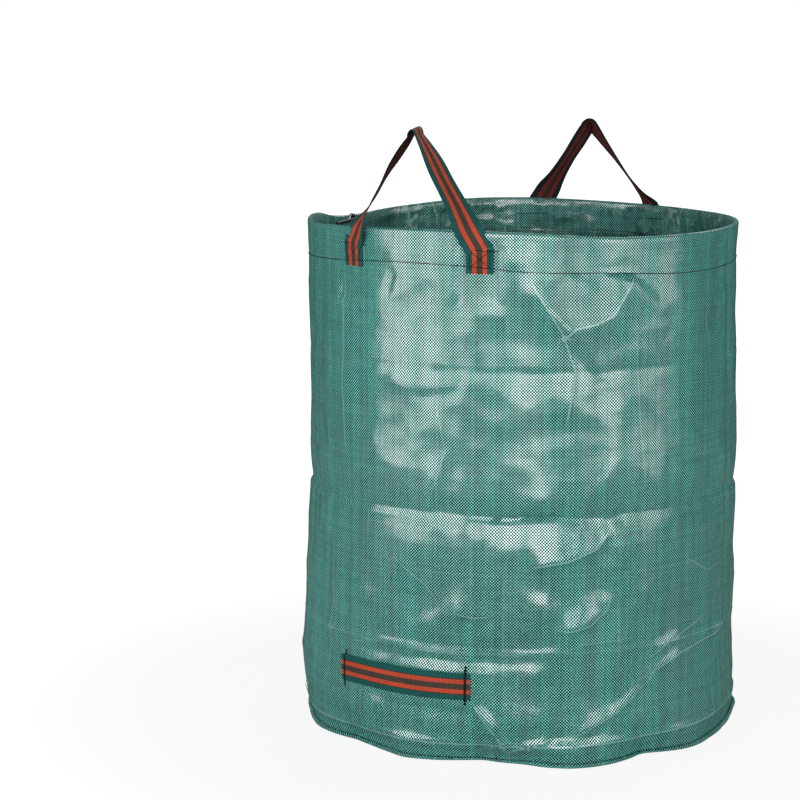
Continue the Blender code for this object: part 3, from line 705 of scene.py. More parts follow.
# Eyelet and its washer. Nickel-plated brass: the eyelet's rim lies on the inner ply and its barrel is
# closed over the washer behind. The hoop's end leaves the hem by it.
EYELET_RADIUS = 0.0099
EYELET_CROWN = 0.0014
BARREL_WALL = 0.0004
LATHED = 56  # faces round


def lathe(name, profile, matrix):
    """A closed profile of (radius, height), turned round +Z and put where the matrix says."""
    work = bmesh.new()
    rings = []
    for step in range(LATHED):
        angle = math.tau * step / LATHED
        rings.append([work.verts.new((r * math.cos(angle), r * math.sin(angle), z)) for r, z in profile])
    for ring, following in zip(rings, rings[1:] + rings[:1]):
        for i in range(len(profile)):
            k = (i + 1) % len(profile)
            work.faces.new((ring[i], following[i], following[k], ring[k]))
    bmesh.ops.transform(work, matrix=matrix, verts=work.verts)
    bmesh.ops.recalc_face_normals(work, faces=work.faces)
    mesh = bpy.data.meshes.new(name)
    work.to_mesh(mesh)
    work.free()
    round_off(mesh, 40)
    return show(name, mesh)


plating = Paint("nickel_plate", Metallic=1.0)
brushed = plating.noise(500.0, 3.0)
dull = plating.range(plating.noise(120.0, 2.0), 0.45, 0.7)
plating.relief(brushed * 0.00003)
nickel = plating.finish(plating.mix(dull, (0.92, 0.92, 0.90), (0.70, 0.69, 0.66)),
                        plating.range(brushed, 0.3, 0.7, 0.28, 0.42))
flange_middle = (EYELET_BORE + EYELET_RADIUS) / 2
flange_half = (EYELET_RADIUS - EYELET_BORE) / 2
seat = CLOTH / 2 + 0.0002
barrel = EYELET_BORE + BARREL_WALL
profile = [(flange_middle + flange_half * math.cos(turn), seat + EYELET_CROWN * math.sin(turn))
           for turn in np.linspace(0, math.pi, 13)]
profile += [(EYELET_BORE, -seat - 0.0010), (barrel, -seat - 0.0010), (barrel, seat)]
eyelet = lathe("eyelet_ring", profile, eyelet_frame)
washer_profile = [
    (EYELET_RADIUS, -seat), (EYELET_RADIUS - 0.0002, -seat - 0.0005),
    (EYELET_BORE + 0.0012, -seat - 0.0007), (EYELET_BORE + 0.0005, -seat - 0.0003),
    (EYELET_BORE + 0.0005, -seat),
]
washer = lathe("eyelet_back", washer_profile, eyelet_frame)
for piece, node in ((eyelet, "rim_eyelet"), (washer, "eyelet_washer")):
    dress(piece, nickel)
    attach(piece, "rim")
    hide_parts(node)

# Hoop. A black plastic rod in the fold holds the mouth open. It runs nearly round the bag in the hem's
# pocket, dips, and comes out through the eyelet along the inner ply.
ROD = 0.0050
HOOP_START = 4  # degrees between the rod's hidden end and the eyelet
HOOP_DIP = 26.0  # degrees before the eyelet where the rod starts to dip
HOOP_TAIL = 10.5  # degrees that its end runs past the eyelet


def rod_place(degrees_on):
    """A point of the rod's axis, by degrees counted back from the eyelet; the tail's are negative."""
    side = EYELET_SIDE - degrees_on
    rim = float(rim_at(side))
    resting = float(wall_face(side, rim - FOLD)[0]) - CLOTH - FOLD
    raised = rim - CLOTH - FOLD
    tail = max(-degrees_on, 0)
    drop = float(ease((HOOP_DIP - degrees_on) / (HOOP_DIP - 3)))
    inward = float(ease((1.6 - degrees_on) / 3.2))
    inside = eyelet_radius - ROD / 2 - 0.0036
    radius = resting + (inside - resting) * inward
    height = raised + (EYELET_LEVEL - raised) * drop - 0.0035 * tail / HOOP_TAIL
    return place(side, radius, height)


def face_outwards(mesh):
    """Merges a closed mesh's double points and turns its faces outwards."""
    work = bmesh.new()
    work.from_mesh(mesh)
    bmesh.ops.remove_doubles(work, verts=work.verts, dist=0.00001)
    bmesh.ops.recalc_face_normals(work, faces=work.faces)
    work.to_mesh(mesh)
    work.free()


stations = list(np.arange(360 - HOOP_START, HOOP_DIP, -2.0)) + list(np.arange(HOOP_DIP, 4, -1.0))
stations += list(np.arange(4, -4, -0.4)) + list(np.arange(-4, -HOOP_TAIL, -0.5)) + [-HOOP_TAIL]
curve = bpy.data.curves.new("hoop_rod", "CURVE")
curve.dimensions = "3D"
curve.bevel_depth = ROD / 2
curve.bevel_resolution = 4
curve.use_fill_caps = True
spline = curve.splines.new("POLY")
spline.points.add(len(stations) - 1)
for knot, station in zip(spline.points, stations):
    knot.co = (*rod_place(float(station)), 1)
rod = plain_mesh(show("hoop_rod", curve))
face_outwards(rod.data)
round_off(rod.data, 40)
plastic = Paint("rod_plastic")
scuffs = plastic.range(plastic.noise(90.0, 3.0), 0.55, 0.75)
plastic.relief(plastic.noise(400.0, 2.0) * 0.00004)
black = plastic.mix(scuffs, (0.012, 0.012, 0.013), (0.05, 0.05, 0.052))
rod.data.materials.clear()
dress(rod, plastic.finish(black, 0.54 + scuffs * 0.20))
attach(rod, "rim")
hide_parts("rim_hoop")

# Webbing. Both carrying handles and the tipping handle are cut from one striped woven tape, 40 mm wide:
# teal selvedges, two orange-red stripes and a dotted dark middle. Its back is the same, darkened: painted
# shade.
STRAP_WIDTH = 0.040
STRAP = 0.0013
ACROSS = 14
STRIPES = [0.0042, 0.0108, 0.0118]  # half widths to the ends of the dark middle, the stripe, its edge line
RIB = 0.0027
TWILL = 0.0024
WARPS = 26


def webbing(name, border, line, stripe, middle, dots):
    """The striped weave; the map's first number runs across from 0 to 1, its second along in metres."""
    paint = Paint(name, Specular_IOR_Level=0.25)
    across, along = paint.weave()
    out = paint.math("ABSOLUTE", across - 0.5) * 2
    wander = (paint.noise(240.0, 1.0) - 0.5) * 0.012
    half = STRAP_WIDTH / 2
    starts = [0.0] + [reach / half for reach in STRIPES]
    settings = {"stops": list(zip(starts, (middle, stripe, line, border))), "interpolation": "CONSTANT"}
    colour = paint.node("ShaderNodeValToRGB", settings, {0: out + wander})
    ribs = paint.math("SINE", along * (math.tau / RIB))
    warps = paint.math("SINE", across * (math.tau * WARPS))
    twill = paint.math("SINE", along * (math.tau / TWILL) + across * (math.tau * WARPS / 2))
    dotted = paint.range(out, (STRIPES[0] + 0.0004) / half, (STRIPES[0] - 0.0004) / half)
    dotted = paint.range(twill * warps, 0.15, 0.6) * dotted
    colour = paint.mix(dotted, colour, dots)
    # Darker in the hollows between ribs and warps: painted shade in the weave.
    rib_hollow_shade = paint.range(ribs * 0.5 + warps * 0.5, -0.8, 0.5, 0.32, 1.15)
    worn = 0.82 + paint.noise(45.0, 3.0) * 0.36
    colour = paint.scaled(colour, rib_hollow_shade * worn)
    fuzz = paint.noise(900.0, 2.0)
    paint.relief(ribs * 0.00009 + warps * 0.00006 + twill * 0.00003 + fuzz * 0.00012)
    return paint.finish(colour, 0.7 + fuzz * 0.2)


webbing_face = webbing("webbing_face", (0.008, 0.110, 0.100), (0.050, 0.022, 0.016), (0.66, 0.085, 0.040),
                       (0.042, 0.052, 0.040), (0.15, 0.075, 0.050))
# The back: the same stripes darkened, painted shade for the sides of a strap that turn from the light.
webbing_back_shaded = webbing("webbing_back_shaded", (0.010, 0.022, 0.022), (0.020, 0.012, 0.011), (0.230, 0.028, 0.022),
                       (0.034, 0.024, 0.020), (0.110, 0.046, 0.034))


def strap(name, centres, across, face):
    """A strip of webbing along its middle line; across and face are its directions at each station."""
    widths = np.linspace(-0.5, 0.5, ACROSS + 1)
    middle = centres[:, None] + across[:, None] * widths[None, :, None] * STRAP_WIDTH
    thick = STRAP / 2 * np.clip((0.53 - np.abs(widths)) / 0.06, 0.45, 1)
    lift = face[:, None] * thick[None, :, None]
    run = np.concatenate([[0], np.cumsum(np.linalg.norm(np.diff(centres, axis=0), axis=1))])
    up = np.broadcast_to(run[:, None], middle.shape[:2])
    piece = solid(name, middle + lift, middle - lift, np.linspace(0, 1, ACROSS + 1), up, cyclic=False)
    dress(piece, webbing_face, webbing_back_shaded)
    return piece


def unit(vectors):
    return vectors / np.linalg.norm(vectors, axis=-1, keepdims=True)


FEET = math.degrees(0.110 / BAG_RADIUS)  # from a handle's middle to each foot
LEG_LEAN = 2.7  # degrees from a foot to where its leg leaves the rim
SEWN_TO = 0.0215  # under the rim's level, where a foot comes free of the hem
FOOT_END = 0.0530
LEAN_END = 0.006
APEX_ROUND = 0.008  # the bend at the top: its height and half its width
APEX_HALF = 0.0055
PROUD = STRAP / 2 + 0.0004  # from the wall to the middle of a foot's webbing


def radial(side):
    """The direction straight out of the wall."""
    return place(side, 1.0, 0.0)


def carrying_handle(name, body, apex, shift, pull, turned):
    """One strap, sewn on at two feet. Each leg turns on edge as it rises: share of height, then degrees.

    The top stands a shift off the middle, and the pull bows both legs outwards.
    """
    joint = next(j for j in frame["joints"] if j["child"] == body)
    pivot = Vector(joint["pos_m"])
    middle_side = side_of(pivot)
    out = np.array(unit(np.array([pivot.x, pivot.y, 0.0])))
    along = np.array([-out[1], out[0], 0.0])
    under_top = np.array([pivot.x, pivot.y, apex - APEX_ROUND]) + along * shift
    legs = []
    for sign, turning in zip((1, -1), turned):
        side = middle_side + sign * FEET
        levels = np.arange(RIM_LEVEL - FOOT_END, RIM_LEVEL - SEWN_TO, 0.0024)
        sewn = place(side, wall_face(side, levels)[0] + PROUD, levels)
        rim_side = side - sign * LEG_LEAN
        rim_z = float(rim_at(rim_side))
        start = sewn[-1] + np.array([0, 0, 0.003])
        bend = place(rim_side, float(wall_face(rim_side, rim_z - 0.004)[0]) + 0.0016, rim_z)
        reach = under_top + along * sign * APEX_HALF
        first = np.linspace(0, 1, 9)[:, None] * (bend - start) + start
        count = int(np.linalg.norm(reach - bend) / 0.0030)
        rising = np.linspace(0, 1, count)[1:, None] * (reach - bend) + bend
        bowed = np.sin(np.linspace(0, math.pi, count))[1:, None] * along * sign * pull
        line = np.concatenate([sewn, first, rising + bowed])
        lean = ease((line[:, 2] - (RIM_LEVEL - SEWN_TO)) / LEAN_END)[:, None]
        steady = unit(unit(np.gradient(line, axis=0)) * (1 - lean) + unit(reach - bend) * lean)
        height = np.clip((line[:, 2] - rim_z + 0.008) / (reach[2] - rim_z + 0.008), 0, 1)[:, None]
        twist = np.radians(smooth(height, turning))
        level_way = unit(radial(side + 90) * (1 - height) + along * height)
        level_way = unit(level_way - steady * np.sum(steady * level_way, axis=1, keepdims=True))
        away = unit(np.cross(level_way, steady))
        across = level_way * np.cos(twist) - sign * away * np.sin(twist)
        legs.append((line, across, np.cross(across, steady)))
    right, left = legs
    arc = np.linspace(0, math.pi, 9)[1:-1, None]
    crown = under_top + along * APEX_HALF * np.cos(arc) + np.array([0, 0, APEX_ROUND]) * np.sin(arc)
    turns_in = np.linspace(0, 1, len(crown) + 2)[1:-1, None]
    crown_across = unit(right[1][-1] * (1 - turns_in) - left[1][-1] * turns_in)
    line = np.concatenate([right[0], crown, left[0][::-1]])
    across = np.concatenate([right[1], crown_across, -left[1][::-1]])
    faces = unit(np.cross(across, unit(np.gradient(line, axis=0))))
    crown_faces = faces[len(right[0]):len(right[0]) + len(crown)]
    face = np.concatenate([right[2], crown_faces, left[2][::-1]])
    curl = noise_at(line, 0.05)[:, None]
    line = line + face * curl * 0.0012 * ease((line[:, 2] - RIM_LEVEL) / 0.03)[:, None]
    piece = strap(name, line, across, face)
    start, end = (tuple(pivot + Vector((0, 0, over))) for over in (0.001, 0.030))
    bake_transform(piece)
    word = body.split("_")[0]
    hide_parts(word + "_handle_loop", word + "_handle_end_left", word + "_handle_end_right")
    return middle_side


front_side = carrying_handle(
    "front_webbing", "front_handle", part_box("front_handle_loop")[1].z - 0.0015, 0.010, 0.002,
    ([(0, 0), (0.12, 30), (0.25, 50), (0.46, 65), (0.69, 74), (0.88, 92), (1, 104)],
     [(0, 0), (0.15, 36), (0.28, 51), (0.53, 61), (0.75, 76), (0.93, 79), (1, 76)]))
back_side = carrying_handle(
    "back_webbing", "back_handle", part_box("back_handle_loop")[1].z - 0.0065, 0.0135, 0.001,
    ([(0, 0), (0.12, 10), (0.33, 48), (0.58, 66), (0.87, 70), (1, 74)],
     [(0, 0), (0.12, 34), (0.3, 52), (0.6, 57), (1, 50)]))

# Tipping handle. A short strap low on the front, laid flat along the wall and sewn down near both ends;
# its middle stands off a little for a hand.
TIPPING_SIDE = -32.0
TIPPING_LENGTH = 0.235
TIPPING_TILT = math.radians(1.7)
TIPPING_BOW = 0.004
tipping_level = middle_of("tipping_handle").z
passed = np.linspace(0, 1, 96)
arcs = (passed - 0.5) * TIPPING_LENGTH
bow = TIPPING_BOW * np.sin(math.pi * np.clip((passed - 0.04) / 0.92, 0, 1)) ** 2
tipping_sides = TIPPING_SIDE + np.degrees(arcs / BAG_RADIUS)
tipping_heights = tipping_level + arcs * math.sin(TIPPING_TILT) + 0.0015 * np.sin(passed * 5)
tipping_seat = wall_face(tipping_sides, tipping_heights)[0] + STRAP / 2 + 0.0007
centres = place(tipping_sides, tipping_seat + bow, tipping_heights)
outward = radial(tipping_sides)
upward = unit(np.cross(unit(np.gradient(centres, axis=0)), outward))
tipping = strap("tipping_webbing", centres, upward, outward)
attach(tipping, "bag")
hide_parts("tipping_handle")

# Thread. Dark green bonded thread sews the hem, the boxed crosses on the handles' feet, the tacks of the
# tipping handle and the seams. Each row is single stitches set along its path.


def stitch_tree():
    """Sets one arched stitch after another along every edge path, with its back to the cloth."""
    tree = bpy.data.node_groups.new("stitch_row", "GeometryNodeTree")
    inputs = {"Geometry": "Geometry", "Stitch": "Float", "Gap": "Float", "Thread": "Float",
              "Finish": "Material"}
    for label, kind in inputs.items():
        tree.interface.new_socket(label, in_out="INPUT", socket_type="NodeSocket" + kind)
    tree.interface.new_socket("Geometry", in_out="OUTPUT", socket_type="NodeSocketGeometry")
    row = Nodes(tree)
    entry = tree.nodes.new("NodeGroupInput")
    edges, long, gap, thread, finish = (Shade(row, entry.outputs[label]) for label in inputs)
    path = row.node("GeometryNodeMeshToCurve", None, {"Mesh": edges})
    spaced = row.node("GeometryNodeResampleCurve", {"mode": "LENGTH"}, {"Curve": path, "Length": long + gap})
    behind, ahead = (row.node("ShaderNodeCombineXYZ", None, {0: long * share}) for share in (-0.5, 0.5))
    line = row.node("GeometryNodeCurvePrimitiveLine", None, {"Start": behind, "End": ahead})
    bent = row.node("GeometryNodeResampleCurve", {"mode": "COUNT"}, {"Curve": line, "Count": 5})
    x = row.node("ShaderNodeSeparateXYZ", None, {0: row.node("GeometryNodeInputPosition")})
    sink = row.node("ShaderNodeCombineXYZ", None, {2: x * x / long * -0.7})
    arched = row.node("GeometryNodeSetPosition", None, {"Geometry": bent, "Offset": sink})
    section = row.node("GeometryNodeCurvePrimitiveCircle", None, {"Resolution": 6, "Radius": thread * 0.5})
    stitch = row.node("GeometryNodeCurveToMesh", None,
                      {"Curve": arched, "Profile Curve": section, "Fill Caps": True})
    facing = row.node("GeometryNodeInputNamedAttribute", {"data_type": "FLOAT_VECTOR"}, {"Name": "facing"})
    aimed = row.node("FunctionNodeAlignRotationToVector", {"axis": "X"},
                     {"Vector": row.node("GeometryNodeInputTangent")})
    upright = row.node("FunctionNodeAlignRotationToVector", {"axis": "Z", "pivot_axis": "X"},
                       {"Rotation": aimed, "Vector": facing})
    sewn = row.node("GeometryNodeInstanceOnPoints", None,
                    {"Points": spaced, "Instance": stitch, "Rotation": upright})
    real = row.node("GeometryNodeRealizeInstances", None, {0: sewn})
    done = row.node("GeometryNodeSetMaterial", None, {"Geometry": real, "Material": finish})
    row.set(tree.nodes.new("NodeGroupOutput").inputs[0], done)
    return tree


STITCH_ROW = stitch_tree()
THREAD = 0.0009
THREAD_OUT = THREAD * 0.35  # from the cloth to the thread's middle
THREAD_OVER = THREAD * 0.3


def thread_finish(name, colour, pale):
    """Twisted thread: fine strands, with lighter fluff here and there."""
    paint = Paint(name, Specular_IOR_Level=0.2)
    strands = paint.noise(1800.0, 2.0)
    paint.relief(strands * 0.00012)
    return paint.finish(paint.mix(paint.range(strands, 0.4, 0.75), colour, pale), 0.5 + strands * 0.2)


dark_thread = thread_finish("dark_thread", (0.002, 0.008, 0.008), (0.008, 0.030, 0.027))
lining_thread = thread_finish("lining_thread", (0.16, 0.34, 0.30), (0.34, 0.55, 0.50))


def sew(name, body, paths, stitch, gap, finish=dark_thread, thread=THREAD):
    """Sews a piece of thread along paths of (points, facing directions)."""
    points = np.concatenate([path for path, _ in paths])
    facing = np.concatenate([np.broadcast_to(way, path.shape) for path, way in paths])
    edges = []
    first = 0
    for path, _ in paths:
        edges += [(first + i, first + i + 1) for i in range(len(path) - 1)]
        first += len(path)
    mesh = bpy.data.meshes.new(name)
    mesh.from_pydata(points.tolist(), edges, [])
    mesh.attributes.new("facing", "FLOAT_VECTOR", "POINT").data.foreach_set("vector", facing.ravel())
    piece = show(name, mesh)
    row = piece.modifiers.new("stitches", "NODES")
    row.node_group = STITCH_ROW
    sizes = {"Stitch": stitch, "Gap": gap, "Thread": thread, "Finish": finish}
    for socket in STITCH_ROW.interface.items_tree:
        if socket.in_out == "INPUT" and socket.name in sizes:
            row[socket.identifier] = sizes[socket.name]
    plain_mesh(piece)
    piece.data.shade_smooth()
    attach(piece, body)
    return piece


FOOT_SIDES = [middle + sign * FEET for middle in (front_side, back_side) for sign in (-1, 1)]


def hem_thread_path(over_straps):
    """Once round the bag under the hem, outside over the handles' feet or inside on the inner ply."""
    ring = np.linspace(-180, 180, 721)
    level = hem_at(ring)
    if not over_straps:
        return place(ring, inner_ply(ring, level) - CLOTH / 2 - THREAD_OUT, level), -radial(ring)
    lift = np.full(ring.shape, 0.0001)
    for foot in FOOT_SIDES:
        beside = STRAP_WIDTH / 2 + 0.0022 - np.abs(arc_to(ring, foot))
        lift = np.maximum(lift, (STRAP + 0.0005) * ease(beside / 0.002))
    return place(ring, wall_face(ring, level)[0] + lift + THREAD_OUT, level), radial(ring)


hem_row = sew("hem_thread", "rim", [hem_thread_path(True)], 0.0032, 0.0003, thread=0.0012)
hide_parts("hem_stitch")
sew("hem_thread_inside", "rim", [hem_thread_path(False)], 0.0026, 0.0008)

BOX_REACH = 0.0255  # the top row runs past the strap's edges
BOX_HALF = 0.0150
BOX_TOP = 0.0222
BOX_LOW = 0.0470


def on_strap(way):
    """1 over a strap and 0 beside it, by the way from its middle line; between them thread slopes down."""
    return ease((STRAP_WIDTH / 2 + 0.0016 - np.abs(way)) / 0.0016)


def box_paths(foot, inwards):
    """The boxed cross of one foot, on the strap or, from inside, on the inner ply."""
    follow = float(smooth(turn_to(foot, 0), HEM_WAVE)) * 0.4
    top = RIM_LEVEL - BOX_TOP + follow
    low = RIM_LEVEL - BOX_LOW + follow
    corners = [
        ((-BOX_REACH, top + 0.0006), (BOX_REACH, top - 0.0006)), ((-BOX_HALF, top), (BOX_HALF, low)),
        ((BOX_HALF, top), (-BOX_HALF, low)), ((-BOX_HALF, low), (-BOX_HALF, top)),
        ((BOX_HALF, top), (BOX_HALF, low)),
    ]
    paths = []
    for (x0, z0), (x1, z1) in corners:
        share = np.linspace(0, 1, 40)
        x = x0 + (x1 - x0) * share
        side = foot + np.degrees(x / BAG_RADIUS)
        height = z0 + (z1 - z0) * share
        if inwards:
            radius = inner_ply(side, height) - CLOTH / 2 - THREAD_OUT
            paths.append((place(side, radius, height), -radial(side)))
            continue
        beside = wall_face(side, height)[0] + 0.0001
        flat = wall_face(foot, height)[0] / np.cos(x / BAG_RADIUS) + STRAP + 0.0005
        radius = beside + (flat - beside) * on_strap(x) + THREAD_OVER
        paths.append((place(side, radius, height), radial(side)))
    return paths


for word, middle in (("front", front_side), ("back", back_side)):
    for hand, sign in (("left", -1), ("right", 1)):
        foot = middle + sign * FEET
        box = sew(f"{word}_box_{hand}", "rim", box_paths(foot, False), 0.0026, 0.0005)
        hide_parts(f"{word}_box_stitch_{hand}")
        top_row, *cross = box_paths(foot, True)
        sew(f"{word}_row_{hand}_inside", "rim", [top_row], 0.0030, 0.0003, thread=0.0013)
        sew(f"{word}_cross_{hand}_inside", "rim", cross, 0.0026, 0.0008, lining_thread, 0.0008)

TACK_IN = 0.0080
TACK_REACH = 0.0265
for hand, sign in (("left", -1), ("right", 1)):
    paths = []
    for column in range(4):
        arc = sign * (TIPPING_LENGTH / 2 - TACK_IN) + (column - 1.5) * THREAD
        up = np.linspace(-TACK_REACH, TACK_REACH, 50)
        side = np.full(up.shape, TIPPING_SIDE + math.degrees(arc / BAG_RADIUS))
        height = tipping_level + arc * math.sin(TIPPING_TILT) + up
        strap_here = np.interp(arc, arcs, tipping_seat + bow) + STRAP / 2 + 0.0002
        beside = wall_face(side, height)[0] + 0.0001
        radius = beside + (strap_here - beside) * on_strap(up) + THREAD_OVER
        paths.append((place(side, radius, height), radial(side)))
    tack = sew(f"tipping_bar_{hand}", "bag", paths, 0.0030, 0.0003)
    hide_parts(f"tipping_tack_{hand}")

# Base. A round panel closes the foot. Its edge and the wall's are sewn together and stand out as a narrow
# flange, which waves where the cloth was gathered.
foot_edge = smooth(sides, FOOT)
foot_root = wall_face(sides, WALL_FOOT)[0]
FLANGE_LIFT = [
    (-180, 0.0008), (-120, 0.0002), (-60, 0.0002), (-49, 0.0012), (-30, 0.0001), (-10, 0.0034),
    (5, 0.0003), (21, 0.0001), (34, 0.0028), (48, 0.0001), (72, 0.0003), (94, 0.0030), (110, 0.0005),
    (180, 0.0008),
]
lift = np.maximum(smooth(sides, FLANGE_LIFT), 0.0)
ripple = noise_at(place(sides, BAG_RADIUS, 0.0), 0.03)
# The flange's section: share of its reach, then height
section = [
    (0.02, 0.0024), (0.4, 0.0012), (0.85, 0.0001), (1.0, 0.0005), (1.0, 0.0014), (0.85, 0.0020),
    (0.4, 0.0040), (0.02, 0.0062),
]
ring_rows = []
for reach, rise in section:
    radius = foot_root + 0.0003 + (foot_edge + 0.0006 * ripple - foot_root) * reach
    height = rise + (lift + 0.0005 * np.abs(ripple)) * reach
    ring_rows.append(place(sides, radius, height))
ring_rows = np.array(ring_rows)
half_rows = len(section) // 2
over_flange = np.broadcast_to(np.array([0.0, 0.003, 0.006, 0.0075])[:, None], (half_rows, COLUMNS))
flange = solid("base_flange", ring_rows[:half_rows], ring_rows[half_rows:][::-1], turns, over_flange)
face_outwards(flange.data)
flange.data.materials.clear()
dress(flange, cloth_face, cloth_inside)
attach(flange, "bag")
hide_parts("base_seam")

closed_ring = np.append(sides, 180.0)
root = np.append(foot_root, foot_root[0])
reach_out = np.append(foot_edge, foot_edge[0]) - root
raised = np.append(lift, lift[0])
rows_of_thread = []
for reach, rise in ((0.10, 0.0057), (0.30, 0.0046)):
    path = place(closed_ring, root + 0.0004 + reach_out * reach, rise + raised * reach + THREAD_OVER)
    rows_of_thread.append((path, unit(radial(closed_ring) + (0, 0, 1))))
base_row = sew("base_thread", "bag", rows_of_thread, 0.0030, 0.0005)
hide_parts("base_seam_stitch")

PANEL_RINGS = 26
PANEL_TURN_UP = 0.004  # its edge stands up against the wall
PANEL_GAP = 0.0006
PANEL_UNDER = 0.0008
PANEL_COLUMNS = 174
panel_sides = np.arange(PANEL_COLUMNS) * 360 / PANEL_COLUMNS - 180
panel_edge = wall_face(panel_sides, WALL_FOOT + 0.001)[0] - CLOTH - PANEL_GAP
rings = []
for step in range(PANEL_RINGS):
    share = 1 - step / PANEL_RINGS
    radius = panel_edge * share
    spots = place(panel_sides, radius, 0.0)
    rucks = 0.0018 * np.abs(noise_at(spots, 0.06)) + 0.0035 * cells_at(spots, 0.09) ** 2
    spots[:, 2] = PANEL_UNDER + rucks * ease((1 - share) * 8)
    if step == 0:
        rings.append(spots + (0, 0, PANEL_TURN_UP))
        spots = place(panel_sides, radius - PANEL_TURN_UP, PANEL_UNDER)
    rings.append(spots)
work = bmesh.new()
for lift_up in (0.0, CLOTH):
    grid = [[work.verts.new((x, y, z + lift_up)) for x, y, z in ring] for ring in rings]
    hub = work.verts.new((0, 0, rings[-1][:, 2].mean() + lift_up))
    for i in range(PANEL_COLUMNS):
        k = (i + 1) % PANEL_COLUMNS
        for ring, following in zip(grid, grid[1:]):
            work.faces.new((ring[i], ring[k], following[k], following[i]))
        work.faces.new((grid[-1][i], grid[-1][k], hub))
        if lift_up:
            work.faces.new((edge_below[i], edge_below[k], grid[0][k], grid[0][i]))
    edge_below = grid[0]
bmesh.ops.recalc_face_normals(work, faces=work.faces)
weave = work.loops.layers.uv.new("weave")
for face in work.faces:
    for loop in face.loops:
        loop[weave].uv = loop.vert.co.xy
panel_mesh = bpy.data.meshes.new("base_cloth")
work.to_mesh(panel_mesh)
work.free()
panel_mesh.shade_smooth()
panel = show("base_cloth", panel_mesh)
dress(panel, cloth_inside)
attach(panel, "bag")
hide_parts("base_panel")

# Side seam. The tube's two edges are sewn together; the folded allowance lies inside, a row of thread
# shows outside.
SEAM_SIDE = side_of(middle_of("side_seam"))
SEAM_WIDE = 0.015
SEAM_ROWS = 130
SEAM_COLUMNS = 7
SEAM_PLIES = 0.0012
hem_at_seam = float(hem_at(SEAM_SIDE))
SEAM_TOP = hem_at_seam - 0.002
SEAM_KEEP = (hem_at_seam - TURN_UNDER - 0.0014 + LET_DOWN) / SEAM_TOP
seam_low, seam_high = (corner.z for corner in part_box("side_seam"))
seam_heights = np.linspace(seam_low + 0.001, min(seam_high - 0.0005, SEAM_TOP), SEAM_ROWS)
seam_arcs = np.linspace(-0.5, 0.5, SEAM_COLUMNS) * SEAM_WIDE
row_sides = SEAM_SIDE + np.degrees(seam_arcs / BAG_RADIUS)
to_edge = np.linspace(0, 1, SEAM_COLUMNS) ** 2
seam_grid = []
for height in seam_heights:
    loose = 0.0006 + 0.0022 * to_edge * (0.6 + noise.noise(Vector((0, 0, height / 0.03))))
    radius = wall_face(row_sides, height)[0] - CLOTH - 0.0011 - np.maximum(loose, 0.0003)
    seam_grid.append(place(row_sides, radius, height))
front_ply, back_ply = plies(np.array(seam_grid), SEAM_PLIES, cyclic=False)
up_seam = np.broadcast_to(seam_heights[:, None], (SEAM_ROWS, SEAM_COLUMNS))
allowance = solid("seam_allowance", front_ply, back_ply, seam_arcs, up_seam, cyclic=False)
dress(allowance, cloth_inside, cloth_inside)
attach(allowance, "bag")
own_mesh(allowance)
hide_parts("side_seam")
seam_line = np.linspace(0.010, SEAM_TOP - THREAD / 2, 260)
seam_side = np.full(seam_line.shape, SEAM_SIDE)
seam_path = place(seam_side, wall_face(seam_side, seam_line)[0] + THREAD_OUT, seam_line)
seam_row = sew("seam_thread", "bag", [(seam_path, radial(seam_side))], 0.0034, 0.0008)
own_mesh(seam_row)
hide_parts("side_seam_stitch")

# Studio. A pale floor keeps the bag's shadow and is white further off. Five upright soft boxes stand round
# the bag, the one at the back high, and the white surroundings fill in a little.


def seen_straight(nodes):
    """1 where the camera sees a thing directly or through something clear, else 0."""
    rays = [nodes.node("ShaderNodeLightPath", out=f"Is {kind} Ray") for kind in ("Camera", "Transmission")]
    return nodes.math("MAXIMUM", *rays)


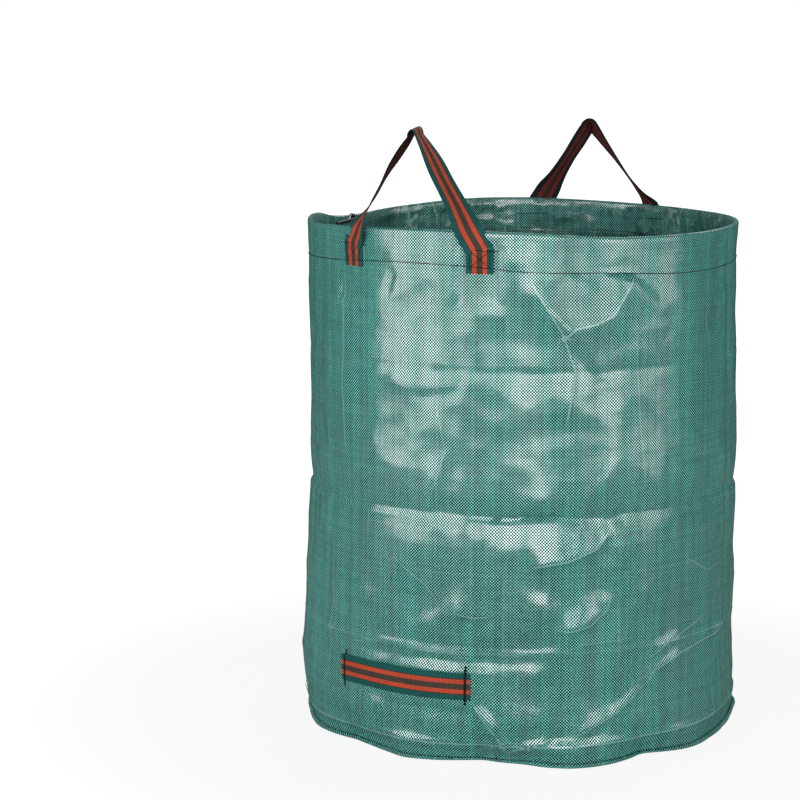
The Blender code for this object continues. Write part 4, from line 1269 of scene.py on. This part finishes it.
bpy.ops.mesh.primitive_plane_add(size=60)
floor = bpy.context.active_object
floor.name = "floor"
paint = Paint("floor_paper")
away = paint.node("ShaderNodeTexCoord", out="Object")
away = paint.node("ShaderNodeVectorMath", {"operation": "LENGTH"}, {0: away}, out="Value")
bare = paint.range(away, 0.5, 1.6, 0.70, 1.0)
diffuse = paint.node("ShaderNodeBsdfDiffuse", None, {"Color": (0.4, 0.4, 0.4)})
white = paint.node("ShaderNodeEmission", None, {"Color": (1, 1, 1), "Strength": 1.26})
both = paint.node("ShaderNodeMixShader", None, {0: seen_straight(paint) * bare, 1: diffuse, 2: white})
paint.set(paint.tree.nodes["Material Output"].inputs["Surface"], both)
dress(floor, paint.material)
floor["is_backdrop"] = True

world = bpy.data.worlds.new("studio")
bpy.context.scene.world = world
world.use_nodes = True
air = Nodes(world.node_tree)
sky = air.tree.nodes["Background"]
sky.inputs["Color"].default_value = (1, 1, 1, 1)
air.set(sky.inputs["Strength"], air.range(seen_straight(air), 0.0, 1.0, 0.19, 1.0))


def lamp(name, side, distance, height, size, share):
    """An upright soft box, by degrees from the face. The share is its light on a sheet that faces it."""
    light = bpy.data.lights.new(name, "AREA")
    light.shape = "RECTANGLE"
    light.size, light.size_y = size
    light.energy = share * (math.pi * distance) ** 2
    item = show(name, light)
    item.location = Vector(place(side, distance, height))
    item.rotation_euler = (math.pi / 2, 0, math.radians(side + FACE + 90))


lamp("left_box", -52, 2.7, 0.90, (2.5, 1.6), 0.45)
lamp("front_box", -1, 4.5, 0.95, (3.6, 1.8), 0.36)
lamp("right_box", 39, 3.0, 0.95, (1.3, 1.7), 0.12)
lamp("right_wide_box", 62, 3.2, 0.95, (2.6, 1.7), 0.20)
lamp("back_box", 165, 3.0, 2.9, (2.6, 1.6), 0.62)

# Camera. It stands at chest height to the right of the bag's front, a few steps off, and looks slightly
# down on it.
CAMERA_DISTANCE = 3.64
CAMERA_HEIGHT = 1.0756
CAMERA_TILT = 80.78
CAMERA_TURN = 32.16
camera = show("camera", bpy.data.cameras.new("camera"))
camera.data.lens = 106.4
camera.data.sensor_width = 36
camera.location = Vector(place(0, CAMERA_DISTANCE, CAMERA_HEIGHT))
camera.rotation_euler = (math.radians(CAMERA_TILT), 0, math.radians(CAMERA_TURN))
bpy.context.scene.camera = camera
bpy.context.scene.view_settings.view_transform = "Standard"

box = {"cad": [list(corner) for corner in cad_box], "visual": [list(corner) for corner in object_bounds()]}
